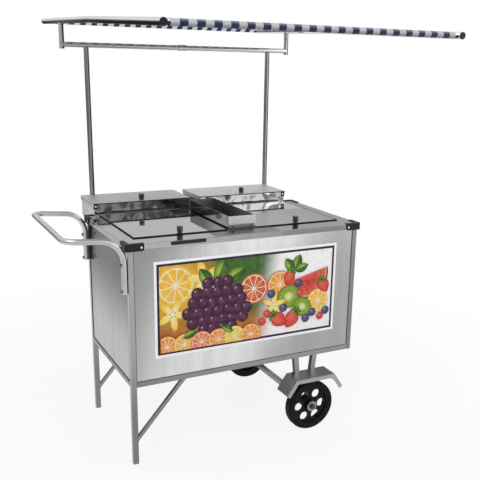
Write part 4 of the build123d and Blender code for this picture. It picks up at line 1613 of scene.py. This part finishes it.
@dataclass(frozen=True)
class Ground:
    """A blurred garden behind a table at the left, which fades to white paper at the right.

    Places are shares of the field's width and height.
    """

    columns: int = 40
    rows: int = 20
    blot_scale: Point2 = (7.0, 4.0)
    blot_seed: float = 1.7
    sun_at: Point2 = (0.06, 0.75)
    sun_reach: Point2 = (0.30, 0.60)
    sun_strength: float = 1.5
    table_top: float = 0.42
    table_fade: float = 0.2
    table_light: float = 0.25
    table_blots: float = 0.5
    paper_start: float = 0.50
    paper_lean: float = 0.06
    paper_fade: float = 0.14
    paper_shade: float = 0.35
    shade_top: float = 0.5

    def draw(self, canvas: Canvas) -> None:
        """Lay the ground as a grid of points.

        Args:
            canvas: the printed field.
        """
        grid = []
        for v in steps(0.0, 1.0, self.rows):
            row = [(u, self._ink(u, v)) for u in steps(0.0, 1.0, self.columns)]
            grid.append([canvas.add((u * canvas.width, v * canvas.height), ink) for u, ink in row])
        for below, above in zip(grid, grid[1:]):
            canvas.faces += list(zip(below, below[1:], above[1:], above))

    def _ink(self, u: float, v: float) -> Colour:
        """Ink of one place.

        Args:
            u: share of the width.
            v: share of the height.

        Returns:
            The colour.
        """
        place = Vector((u * self.blot_scale[0], v * self.blot_scale[1], self.blot_seed))
        blot = 0.5 + 0.5 * noise.noise(place)
        sun_x, sun_y = self.sun_at
        away = math.hypot((u - sun_x) / self.sun_reach[0], (v - sun_y) / self.sun_reach[1])
        garden = blend(Ink.LEAF, Ink.SHADE, blot)
        garden = blend(garden, Ink.AMBER, clamp(self.sun_strength * (1.0 - away)))
        table = blend(Ink.BARK, Ink.ORANGE, self.table_light + self.table_blots * blot)
        ink = blend(garden, table, clamp((self.table_top - v) / self.table_fade))
        paper = blend(Ink.WHITE, Ink.PAPER_SHADE, self.paper_shade * max(0.0, self.shade_top - v))
        edge = self.paper_start + self.paper_lean * v
        return blend(ink, paper, ease(clamp((u - edge) / self.paper_fade)))


@dataclass
class Picture:
    """A printed sheet of fruit: a white edge, a plum line and flat layers of ink inside it.

    Places are metres from the lower left corner inside the plum line.
    """

    border: float = 0.012
    line: float = 0.011
    layer: float = 0.00004
    first_layer: float = 0.00012
    grape: float = 0.029
    grape_rows: tuple[tuple[float, int], ...] = (
        (0.292, 3), (0.250, 5), (0.206, 6), (0.160, 7), (0.118, 6), (0.080, 4),
    )
    grape_middle: float = 0.275
    grape_pitch: float = 0.048
    grape_stray: float = 0.004
    seed: int = 11
    blueberry: float = 0.021
    blueberries: tuple[Point2, ...] = (
        (0.690, 0.240), (0.545, 0.205), (0.770, 0.085), (0.735, 0.060), (0.610, 0.128), (0.845, 0.085),
    )
    currant: float = 0.019
    currants: tuple[Point2, ...] = ((0.525, 0.110), (0.500, 0.075), (0.815, 0.060), (0.700, 0.190))
    row_inks: tuple[Colour, ...] = (
        Ink.ORANGE, Ink.AMBER, Ink.CORAL, Ink.ORANGE, Ink.YELLOW, Ink.ORANGE,
    )
    row_blush: float = 0.2
    row_first: Spot = Spot(0.030, 0.024, 0.052)
    row_pitch: float = 0.082
    row_turn: float = 0.35
    attribute: str = "ink"

    def build(self) -> None:
        """Print the picture on the front sheet."""
        low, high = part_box("front_picture")
        edge = self.border + self.line
        canvas = Canvas(
            left=low.x + edge,
            foot=low.z + edge,
            front=low.y - self.first_layer,
            width=high.x - low.x - 2 * edge,
            height=high.z - low.z - 2 * edge,
            layer=self.layer,
        )
        self._frame_line(canvas)
        Ground().draw(canvas)
        for motif, spot in self._left_group() + self._right_group() + self._bottom_row():
            motif.draw(canvas, spot)
        mesh = tinted_mesh("printed_fruit", canvas.points, canvas.faces, self.attribute, canvas.inks)
        finish = Print("fruit_print", self.attribute)
        add_piece("printed_fruit", mesh, Body.CART, finish.material())

    def _frame_line(self, canvas: Canvas) -> None:
        """Draw the plum line round the field, in four mitred strips.

        Args:
            canvas: the field.
        """
        rings = []
        for out in (self.line, 0.0):
            right, top = canvas.width + out, canvas.height + out
            corners = ((-out, -out), (right, -out), (right, top), (-out, top))
            rings.append([canvas.lay(corner, Ink.PLUM) for corner in corners])
        outer, inner = rings
        canvas.faces += list(zip(outer, onward(outer), onward(inner), inner))

    def _left_group(self) -> list[Placed]:
        """Star fruit and slices of citrus behind a heap of dark grapes with leaves.

        Returns:
            Each motif with its spot, the rearmost first.
        """
        lemon, star = Citrus(Ink.YELLOW, Ink.AMBER), StarFruit()
        group: list[Placed] = [
            (lemon, Spot(0.075, 0.300, 0.088, 0.2)),
            (star, Spot(0.205, 0.318, 0.090, 0.5)),
            (star, Spot(0.060, 0.170, 0.080, 1.1)),
            (Citrus(Ink.CORAL, Ink.RED), Spot(0.455, 0.240, 0.072, 0.7)),
            (Leaf(0.034), Spot(0.270, 0.285, 0.125, 1.25)),
            (Leaf(0.032), Spot(0.310, 0.285, 0.120, 0.55)),
            (Leaf(0.030), Spot(0.250, 0.275, 0.110, 2.20)),
        ]
        grape = Berry(Ink.PURPLE, Ink.VIOLET, Ink.GRAPE_SHINE)
        chance, stray = random.Random(self.seed), self.grape_stray
        for height, count in self.grape_rows:
            for offset in centred(count, self.grape_pitch):
                x = self.grape_middle + offset + chance.uniform(-stray, stray)
                y = height + chance.uniform(-stray, stray)
                group.append((grape, Spot(x, y, self.grape)))
        return group

    def _right_group(self) -> list[Placed]:
        """Watermelon, kiwi, orange and berries in a heap on white.

        Returns:
            Each motif with its spot, the rearmost first.
        """
        strawberry = Strawberry()
        group: list[Placed] = [
            (Leaf(0.026), Spot(0.665, 0.300, 0.085, 1.20)),
            (Leaf(0.024), Spot(0.665, 0.300, 0.080, 2.20)),
            (Leaf(0.022), Spot(0.670, 0.300, 0.075, 0.35)),
            (Citrus(Ink.ORANGE, Ink.ORANGE), Spot(0.590, 0.245, 0.066, 0.3)),
            (Melon(), Spot(0.735, 0.275, 0.118, 0.25)),
            (Kiwi(0.9), Spot(0.640, 0.180, 0.064, 0.2)),
            (Citrus(Ink.YELLOW, Ink.AMBER), Spot(0.800, 0.140, 0.058, 0.9)),
            (StarFruit(), Spot(0.560, 0.150, 0.062, 0.2)),
            (Kiwi(0.8), Spot(0.715, 0.120, 0.056, 2.4)),
            (strawberry, Spot(0.640, 0.275, 0.036, -0.4)),
            (strawberry, Spot(0.585, 0.075, 0.042, 0.9)),
            (strawberry, Spot(0.660, 0.070, 0.044, -0.6)),
            (strawberry, Spot(0.830, 0.215, 0.036, 0.5)),
        ]
        blue = Berry(Ink.BLUEBERRY, Ink.BLOOM, Ink.BLOOM_SHINE)
        red = Berry(Ink.RED, Ink.CORAL, Ink.RED_SHINE)
        group += [(blue, Spot(x, y, self.blueberry)) for x, y in self.blueberries]
        group += [(red, Spot(x, y, self.currant)) for x, y in self.currants]
        return group

    def _bottom_row(self) -> list[Placed]:
        """Slices of citrus along the lower left edge, with two leaves.

        Returns:
            Each motif with its spot, the rearmost first.
        """
        row: list[Placed] = []
        first = self.row_first
        for index, ink in enumerate(self.row_inks):
            spot = replace(first, x=first.x + self.row_pitch * index, turn=self.row_turn * index)
            row.append((Citrus(ink, blend(ink, Ink.RED, self.row_blush)), spot))
        leaf = Leaf(0.018)
        return row + [(leaf, Spot(0.105, 0.055, 0.070, 0.4)), (leaf, Spot(0.350, 0.052, 0.070, 2.6))]


# Small trim


@dataclass
class Trim:
    """Welds, screws, seals and the blank plate of the cabinet."""

    weld_radius: float = 0.0026
    weld_pitch: float = 0.0022
    brace_bar: float = 0.016
    strut_tube: float = 0.025
    strut_spread: float = 0.028
    saddle: float = 0.006
    seal_radius: float = 0.0028
    plate_length: float = 0.164
    plate_height: float = 0.016
    plate_thickness: float = 0.0016
    plate_middle_x: float = -0.303
    plate_drop: float = 0.010
    plate_corner: float = 0.006
    plate_corner_steps: int = 6
    plate_rim: float = 0.0006
    screw_radius: float = 0.0036
    screw_height: float = 0.0014
    screws_per_hinge: int = 5
    hinge_offset: float = 0.0067
    hinge_plate: float = 0.0012
    trough_screws: tuple[float, float] = (0.045, 0.095)
    trough_screw_drop: float = 0.008
    deck_low: Vector = field(init=False)
    deck_high: Vector = field(init=False)

    def build(self) -> None:
        """Add every bit of trim."""
        self.deck_low, self.deck_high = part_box("deck_top")
        self._welds()
        self._seals()
        self._screws()
        self._plate()

    def _welds(self) -> None:
        """Scaly welds round the ends of the leg braces and the feet of the axle struts."""
        paths = []
        low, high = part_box("leg_braces")
        half = self.brace_bar / 2
        slope = math.atan2(high.z - low.z, high.x - low.x)
        tall, long = half / math.cos(slope), half / math.sin(slope)
        for y in (low.y + half, high.y - half):
            foot, head = Vector((low.x, y, low.z + tall)), Vector((high.x - long, y, high.z))
            paths.append(rectangle(foot, Vector((0, half, 0)), Vector((0, 0, tall))))
            paths.append(rectangle(head, Vector((0, half, 0)), Vector((long, 0, 0))))
        low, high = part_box("axle_struts")
        half = self.strut_tube / 2
        sides = Vector((half, 0, 0)), Vector((0, half, 0))
        middle, saddle = middle_of("axle_struts").x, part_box("axle_beam")[1].z + self.saddle
        for y in (low.y + half, high.y - half):
            for x in (middle - self.strut_spread, middle + self.strut_spread):
                paths.append(rectangle(Vector((x, y, saddle)), *sides))
        base = line_mesh("weld_lines", paths, closed=True)
        sizes = {"Pitch": self.weld_pitch, "Bead Radius": self.weld_radius}
        finish = Steel("weld_metal", 0.34, 0.22, 0.42, smear=0.12)
        mesh = WeldRun("weld_run", sizes).run(base, finish.material())
        smooth(mesh)
        add_piece("weld_beads", mesh, Body.CART)

    def _seals(self) -> None:
        """Black sealant in the corner between each panel and the tubes round it."""
        faces = (("front_panel", 1, 0), ("rear_panel", 1, 1), ("end_panels", 0, 0), ("end_panels", 0, 1))
        base = line_mesh("seal_lines", [face_rim(*face) for face in faces], closed=True)
        finish = Plastic("sealant", (0.012, 0.012, 0.013), (0.03, 0.03, 0.03), 0.5)
        mesh = SealRun("seal_run", {"Bead Radius": self.seal_radius}).run(base, finish.material())
        smooth(mesh)
        add_piece("panel_seals", mesh, Body.CART)

    def _screws(self) -> None:
        """Screws through the hinge plates on the deck, and two heads on each side of the trough."""
        spots = []
        for node in ("left_lid_hinge_leaf", "right_lid_hinge_leaf"):
            low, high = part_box(node)
            for index in range(self.screws_per_hinge):
                x = low.x + (high.x - low.x) * (index + 0.5) / self.screws_per_hinge
                place = Vector((x, high.y + self.hinge_offset, self.deck_high.z + self.hinge_plate))
                spots.append((place, Vector((0, 0, 1))))
        low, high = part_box("trough")
        for inset in self.trough_screws:
            for x, way in ((low.x, -1), (high.x, 1)):
                place = Vector((x, low.y + inset, high.z - self.trough_screw_drop))
                spots.append((place, Vector((way, 0, 0))))
        sizes = {"Head Radius": self.screw_radius, "Head Height": self.screw_height}
        finish = Steel("screw_steel", 0.62, 0.5, 0.2)
        mesh = HeadSet("screw_heads", sizes).run(point_mesh("screw_points", spots), finish.material())
        add_piece("hinge_screws", mesh, Body.CART)

    def _plate(self) -> None:
        """A blank dark plate with round corners on the front lip of the deck."""
        length, height = self.plate_length / 2, self.plate_height / 2
        corner = self.plate_corner
        half, tall = length - corner, height - corner
        outline = []
        for x, z, start in ((half, -tall, -90), (half, tall, 0), (-half, tall, 90), (-half, -tall, 180)):
            for angle in steps(math.radians(start), math.radians(start + 90), self.plate_corner_steps):
                outline.append((x + corner * math.cos(angle), z + corner * math.sin(angle)))
        front, top = self.deck_low.y, self.deck_high.z
        middle = Vector((middle_of("deck_top").x + self.plate_middle_x, front, top - self.plate_drop))
        depth, rim = self.plate_thickness, self.plate_rim
        shape = bmesh.new()
        rings = []
        for out, inset in ((0.0, 0.0), (depth - rim, 0.0), (depth, rim)):
            scale_x, scale_z = 1 - inset / length, 1 - inset / height
            ring = [middle + Vector((x * scale_x, -out, z * scale_z)) for x, z in outline]
            rings.append([shape.verts.new(point) for point in ring])
        for first, second in zip(rings, rings[1:]):
            for corners in zip(first, onward(first), onward(second), second):
                shape.faces.new(corners)
        shape.faces.new(rings[-1])
        shape.faces.new(rings[0][::-1])
        finish = Plastic("blank_plate", (0.014, 0.014, 0.015), (0.03, 0.03, 0.03), 0.45, gloss=0.3)
        mesh = close_shape(shape, "blank_plate")
        add_piece("blank_plate", mesh, Body.CART, finish.material())


# Finishes of the solids


@dataclass
class Wardrobe:
    """The finish of every solid that is shown."""

    fine_grain: Sequence[float] = (40.0, 40.0, 40.0)
    fine_depth: float = 0.000004
    fine_edge: float = 0.75
    panel_band: Sequence[float] = (1.1, 1.1, 0.6)
    replaced: tuple[str, ...] = ("canopy_fabric",)

    def dress(self, nodes: dict[str, bpy.types.Object]) -> None:
        """Give each solid its finish.

        Args:
            nodes: the solids by name.
        """
        bare = set(nodes) - set(self.replaced)
        for names, finish in (self._sheets() | self._tubes() | self._moulded()).items():
            material = finish.material()
            for name in names.split():
                coat(nodes[name].data, material)
                bare.discard(name)
        LOG.info("solids without a finish: %s", sorted(bare))

    def _fine(self, name: str, bright: float, dull: float, rough: float, **more: object) -> Steel:
        """Steel with a fine even grain, from its name, its two tones, its roughness and other fields."""
        fine = {"grain": self.fine_grain, "grain_depth": self.fine_depth, "edge": self.fine_edge}
        return Steel(name, bright, dull, rough, **fine, **more)

    def _sheets(self) -> dict[str, Finish]:
        """Finishes of the deck, the lids, the boxes, the trough and the panels.

        Returns:
            Each finish by the names of its solids.
        """
        deck, lid, trough, panel = (
            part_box(node)[0] for node in ("deck_top", "right_lid", "trough", "front_panel")
        )
        # painted reflection: the lids grow darker from left to right
        painted_lid_gradient = Sheen("X", deck.x, 0.60, 1.25, stray=0.10)
        mirror = {"satin": Sheen.face("Y", "left_box"), "satin_rough": -0.46, "smear": 0.03, "wave": 0.02}
        return {
            # painted reflection: the deck grows darker from left to right; its satin stretch only adds
            # roughness
            "deck_top": self._fine(
                "deck_steel", 0.46, 0.20, 0.05, smear=0.04,
                sheen=Sheen("X", deck.x, 0.15, 0.95, stray=0.10),
                satin=Sheen("X", 0.16, 0.05, 0.09, stray=0.0), satin_rough=0.25,
            ),
            "left_lid": self._fine("left_lid_steel", 0.48, 0.28, 0.035, smear=0.03, sheen=painted_lid_gradient),
            "right_lid": self._fine(
                "right_lid_steel", 0.56, 0.40, 0.035, smear=0.03, sheen=painted_lid_gradient,
                satin=Sheen("Y", lid.y, 0.27, 0.33, stray=0.02), satin_rough=0.28,
            ),
            # painted reflection: the left end face of the left cover is lighter
            "left_box_lid": self._fine(
                "left_cover_steel", 0.90, 0.51, 0.42, smear=0.06, sheen=Sheen.face("X", "left_box_lid")
            ),
            "right_box_lid": self._fine("right_cover_steel", 0.72, 0.65, 0.42, smear=0.06),
            # painted reflection: the left end face of the left box is lighter; mirror only sets the
            # roughness
            "left_box": self._fine(
                "left_box_steel", 0.95, 0.44, 0.50, sheen=Sheen.face("X", "left_box"), **mirror
            ),
            # painted shade: the left end face of the right box is darker than the rest
            "right_box": self._fine(
                "right_box_steel", 0.20, 0.50, 0.50, sheen=Sheen.face("X", "right_box"), **mirror
            ),
            # painted reflection: light at the front, darker towards the rear; the satin stretch only adds
            # roughness
            "trough": self._fine(
                "trough_steel", 0.62, 0.24, 0.08, wave=0.003,
                sheen=Sheen("Y", trough.y, 0.10, 0.30, stray=0.05),
                satin=Sheen("X", middle_of("trough").x, 0.0640, 0.0655, stray=0.0),
            ),
            # painted reflection: a light band that leans across the front and rear panels
            "front_panel rear_panel": Steel(
                "front_steel", 0.78, 0.33, 0.24, band=self.panel_band, streak=0.14,
                sheen=Sheen("X", middle_of("front_panel").x - 0.12, 0.10, 0.52, lean=0.35),
            ),
            # painted shade: the end panels grow darker towards the top
            "end_panels": Steel(
                "end_steel", 0.72, 0.13, 0.16, band=self.panel_band, streak=0.10, edge=0.72,
                sheen=Sheen("Z", panel.z, 0.06, 0.50),
            ),
        }

    def _tubes(self) -> dict[str, Finish]:
        """Finishes of the tubes, the small steel parts and the fenders.

        Returns:
            Each finish by the names of its solids.
        """
        leg_top, angle_top = (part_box(node)[1].z for node in ("left_legs", "trough_angle"))
        # keeps the end tubes' painted shade to their left end
        painted_shade_left_end = Sheen("X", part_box("canopy_end_tubes")[0].x, 0.2, 0.4, stray=0.0)
        # painted shade on the faces that look left, and on those that look right
        painted_left_shade = PaintedFacingTone("X", -0.8, -0.4, 0.05)
        painted_right_shade = PaintedFacingTone("X", 0.30, -0.10, 0.05)
        # painted shade on the faces of the polished tubes that do not look up, for mirrored dark ground
        painted_underside_shade = PaintedFacingTone("Z", 0.05, 0.25, 0.03)
        polished = self._fine("polished_tube", 0.88, 0.80, 0.04, smear=0.02, facing=painted_underside_shade)
        hidden = (
            "floor_panel left_tub right_tub axle_washers post_brackets hinge_bases left_lid_hinge_leaf"
            " right_lid_hinge_leaf left_box_hinge_leaf right_box_hinge_leaf"
        )
        return {
            # painted light: the legs are lighter at the top and darker lower down
            "left_legs": Steel(
                "leg_steel", 0.40, 0.21, 0.20, smear=0.08, sheen=Sheen("Z", leg_top, 0.45, 0.80)
            ),
            "right_posts": Steel("corner_steel", 0.24, 0.18, 0.30, smear=0.08),
            "bottom_rails top_rails leg_braces axle_beam": Steel(
                "tube_steel", 0.30, 0.22, 0.30, smear=0.08
            ),
            # painted shade on the struts' left faces
            "axle_struts": Steel("strut_steel", 0.34, 0.26, 0.30, smear=0.08, facing=painted_left_shade),
            hidden: Steel("dull_steel", 0.34, 0.24, 0.40, smear=0.12),
            "handle_bolts": Steel("dark_steel", 0.20, 0.13, 0.40, smear=0.12),
            # painted reflection: the angle is lighter along its top strip and darker below
            "trough_angle": Steel(
                "angle_steel", 0.24, 0.10, 0.25, sheen=Sheen("Z", angle_top, 0.010, 0.018, stray=0.0)
            ),
            # painted shade: the front face of the fenders' lip is darker than their top
            "fenders": Steel(
                "fender_steel", 0.36, 0.50, 0.32, smear=0.10, sheen=Sheen.face("Y", "fenders")
            ),
            "push_handle": Steel("satin_tube", 0.62, 0.54, 0.34, smear=0.08),
            # painted shade on the right faces of the posts and the cross bars
            "canopy_posts": self._fine("post_tube", 0.42, 0.35, 0.20, smear=0.06, facing=painted_right_shade),
            "canopy_cross_bars": self._fine("bar_tube", 0.60, 0.52, 0.24, facing=painted_right_shade),
            "canopy_long_tubes": polished,
            # painted shade only at the left end of the end tubes
            "canopy_end_tubes": replace(
                polished, name="end_tube", facing=replace(painted_underside_shade, within=painted_shade_left_end)
            ),
            "rivets hinge_pins": Steel("bright_head", 0.80, 0.70, 0.15),
        }

    @staticmethod
    def _moulded() -> dict[str, Finish]:
        """Finishes of the black parts, the bushes, the white sheet, the tyres and the foam.

        Returns:
            Each finish by the names of its solids.
        """
        axis = middle_of("front_tyre")
        black = (0.006, 0.006, 0.007)
        return {
            "corner_guards canopy_end_caps": Plastic(
                "black_guard", black, (0.016, 0.016, 0.017), 0.45, gloss=0.3
            ),
            "left_lid_edging right_lid_edging left_box_edging right_box_edging": Plastic(
                "black_edging", black, (0.016, 0.016, 0.016), 0.55, gloss=0.3
            ),
            "left_lid_knob right_lid_knob left_box_knob right_box_knob": Plastic(
                "black_knob", (0.020, 0.020, 0.021), (0.036, 0.036, 0.037), 0.16, gloss=1.0
            ),
            "front_wheel rear_wheel": Plastic(
                "wheel_black", black, (0.010, 0.010, 0.010), 0.48, skin_scale=500.0, gloss=0.15
            ),
            "front_wheel_bush rear_wheel_bush": Plastic(
                "bush_nylon", (0.70, 0.69, 0.64), (0.55, 0.54, 0.50), 0.45
            ),
            "axle_nuts axle_shaft trough_screws": Plastic(
                "dark_nut", (0.020, 0.020, 0.021), (0.05, 0.05, 0.05), 0.38
            ),
            "front_picture": Plastic("white_vinyl", Ink.WHITE, (0.93, 0.93, 0.92), 0.28),
            "front_tyre rear_tyre": Tyre("tyre_rubber", axis.x, axis.z),
            "tub_insulation": Foam("foam"),
        }


# The studio


@dataclass(frozen=True)
class Card:
    """A stretch of the surround: its bearing in degrees, its height, its light and its distance."""

    bearing: float
    height: float
    light: float
    away: float = 5.6


@dataclass(frozen=True)
class Lamp:
    """A square soft lamp: its place, the length of its side, its power and whether steel mirrors it."""

    name: str
    place: tuple[float, float, float]
    size: float
    power: float
    mirrored: bool = True


@dataclass
class Studio:
    """A pale floor, soft lamps, a dim surround that only reflections show, and the camera."""

    ambient: float = 0.55
    floor_reach: float = 14.0
    floor_near: float = 0.9
    floor_far: float = 3.0
    floor_lift: float = 0.86
    floor_scale: float = 3.0
    floor_tones: tuple[Colour, Colour] = ((0.86, 0.86, 0.86), (0.89, 0.89, 0.89))
    cards: tuple[Card, ...] = (
        Card(-180.0, 2.0, 0.18),
        Card(-130.0, 2.2, 0.18),
        Card(-104.0, 3.4, 0.40),
        Card(-84.0, 3.6, 0.80),
        Card(-74.0, 3.6, 0.80),
        Card(-72.0, 3.6, 0.22),
        Card(-69.0, 3.6, 0.22),
        Card(-64.0, 3.6, 2.80),
        Card(-48.0, 3.6, 2.80),
        Card(-40.0, 2.4, 0.18),
        Card(0.0, 1.9, 0.20),
        Card(86.0, 1.9, 0.14),
        Card(92.0, 1.75, 0.07, 4.9),
        Card(122.0, 1.75, 0.07, 4.9),
        Card(130.0, 1.9, 0.14),
        Card(180.0, 2.0, 0.18),
    )
    card_count: int = 180
    blot_tone: Colour = (0.09, 0.09, 0.09)
    blot_scale: float = 1.6
    blot_span: Sequence[float] = (0.46, 0.58, 0.0, 0.8)
    glint_tone: Colour = (0.9, 0.9, 0.9)
    glint_scale: float = 2.4
    glint_span: Sequence[float] = (0.56, 0.66, 0.0, 0.8)
    lamps: tuple[Lamp, ...] = (
        Lamp("key_lamp", (-2.6, -3.4, 4.4), 3.2, 95.0),
        Lamp("fill_lamp", (3.6, -2.4, 3.2), 3.0, 40.0),
        Lamp("back_lamp", (0.5, 4.0, 3.8), 3.0, 35.0, mirrored=False),
    )
    lamp_aim: tuple[float, float, float] = (0.0, 0.0, 0.8)
    sensor: float = 36.0
    lens: float = 54.49
    shift: Point2 = (-0.0365, 0.0783)
    eye: tuple[float, float, float] = (-1.36525, -3.21161, 1.7387)
    yaw: float = 0.484
    pitch: float = 0.285
    roll: float = 0.021

    def build(self) -> None:
        """Set up the whole studio."""
        self._world()
        self._floor()
        self._surround()
        self._lamps()
        self._camera()
        bpy.context.scene.view_settings.view_transform = "Standard"

    @staticmethod
    def _seen(graph: Graph) -> Socket:
        """Which rays look at the background straight, in a reflection or through glass.

        Args:
            graph: nodes of the world or of a material.

        Returns:
            One for those rays, nought for the others.
        """
        path = graph.node("ShaderNodeLightPath", output="Is Camera Ray")
        seen = path + graph.also(path, "Is Glossy Ray") + graph.also(path, "Is Transmission Ray")
        return seen.math("MINIMUM", 1.0)

    def _world(self) -> None:
        """A white background over a softer ambient light."""
        world = bpy.data.worlds.new("studio")
        world.use_nodes = True
        bpy.context.scene.world = world
        graph = Graph(world.node_tree)
        soft = graph.node("ShaderNodeBackground", None, {"Color": (1, 1, 1, 1), "Strength": self.ambient})
        white = graph.node("ShaderNodeBackground", None, {"Color": (1, 1, 1, 1), "Strength": 1.0})
        mixed = graph.node("ShaderNodeMixShader", None, {0: self._seen(graph), 1: soft, 2: white})
        graph.node("ShaderNodeOutputWorld", None, {"Surface": mixed})

    def _floor(self) -> None:
        """A wide pale floor that keeps the cart's shadow and runs out into the white background."""
        mesh = bpy.data.meshes.new("floor")
        sides = Vector((self.floor_reach, 0, 0)), Vector((0, self.floor_reach, 0))
        mesh.from_pydata(rectangle(Vector(), *sides), [], [(0, 1, 2, 3)])
        graph = MaterialGraph("pale_floor")
        tone = graph.mix(graph.noise(self.floor_scale), *self.floor_tones)
        matte = graph.node("ShaderNodeBsdfDiffuse", None, {"Color": tone})
        white = graph.node("ShaderNodeEmission", None, {"Color": (1, 1, 1, 1), "Strength": 1.0})
        away = graph.node("ShaderNodeVectorMath", {"operation": "LENGTH"}, {0: graph.place()}, "Value")
        share = away.span(self.floor_near, self.floor_far, self.floor_lift, 1.0) * self._seen(graph)
        coat(mesh, graph.close(graph.node("ShaderNodeMixShader", None, {0: share, 1: matte, 2: white})))
        put("floor", mesh)

    def _surround(self) -> None:
        """A wall of cards all round, mostly dim, that only reflections show."""
        points = []
        lights = []
        faces = []
        for index in range(self.card_count):
            card = self._card(360.0 * index / self.card_count - 180.0)
            x, y = polar(card.away, math.radians(card.bearing))
            points += [(x, y, 0.0), (x, y, card.height)]
            lights += [(card.light,) * 3] * 2
            here, after = 2 * index, 2 * ((index + 1) % self.card_count)
            faces.append((after, here, here + 1, after + 1))
        mesh = tinted_mesh("surround", points, faces, "light", lights)
        graph = MaterialGraph("dim_surround")
        light = graph.node("ShaderNodeVertexColor", {"layer_name": "light"})
        blots = graph.noise(self.blot_scale, detail=2.0).span(*self.blot_span)
        glints = graph.noise(self.glint_scale, detail=2.0).span(*self.glint_span)
        tone = graph.mix(glints, graph.mix(blots, light, self.blot_tone), self.glint_tone)
        coat(mesh, graph.close(graph.node("ShaderNodeEmission", None, {"Color": tone, "Strength": 1.0})))
        wall = put("surround", mesh)
        wall.visible_camera = False
        wall.visible_diffuse = False
        wall.visible_shadow = False

    def _card(self, bearing: float) -> Card:
        """The surround at a bearing.

        Args:
            bearing: direction in degrees, from -180 to 180.

        Returns:
            A blend of the cards on both sides of it.
        """
        for first, second in zip(self.cards, self.cards[1:]):
            if first.bearing <= bearing <= second.bearing:
                share = (bearing - first.bearing) / (second.bearing - first.bearing)
                return Card(*blend(astuple(first), astuple(second), share))
        raise ValueError(f"no card at {bearing}")

    def _lamps(self) -> None:
        """A large soft key lamp, a weaker fill, and a lamp from behind that the steel doesn't mirror."""
        for lamp in self.lamps:
            light = bpy.data.lights.new(lamp.name, "AREA")
            light.size = lamp.size
            light.energy = lamp.power
            holder = put(lamp.name, light)
            holder.location = lamp.place
            aim = Vector(self.lamp_aim) - Vector(lamp.place)
            holder.rotation_euler = aim.to_track_quat("-Z", "Y").to_euler()
            holder.visible_glossy = lamp.mirrored

    def _camera(self) -> None:
        """The camera at the photograph's place."""
        camera = bpy.data.cameras.new("camera")
        camera.sensor_width = self.sensor
        camera.lens = self.lens
        camera.shift_x, camera.shift_y = self.shift
        flat = math.cos(self.pitch)
        ahead = Vector((math.sin(self.yaw) * flat, math.cos(self.yaw) * flat, -math.sin(self.pitch)))
        right = ahead.cross(Vector((0, 0, 1))).normalized()
        up = right.cross(ahead)
        c, s = math.cos(self.roll), math.sin(self.roll)
        right, up = right * c + up * s, up * c - right * s
        turn = Matrix((right, up, -ahead)).transposed()
        holder = put("camera", camera)
        holder.matrix_world = Matrix.Translation(self.eye) @ turn.to_4x4()
        bpy.context.scene.camera = holder


def main() -> None:
    """Load the frame, dress it and set the studio up round it."""
    logging.basicConfig(level=logging.INFO, format="%(name)s: %(message)s")
    for thing in list(bpy.data.objects):
        bpy.data.objects.remove(thing)
    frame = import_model()
    Wardrobe().dress(frame["nodes"])
    Canopy().build()
    Picture().build()
    Trim().build()
    Studio().build()


if __name__ == "__main__":
    main()
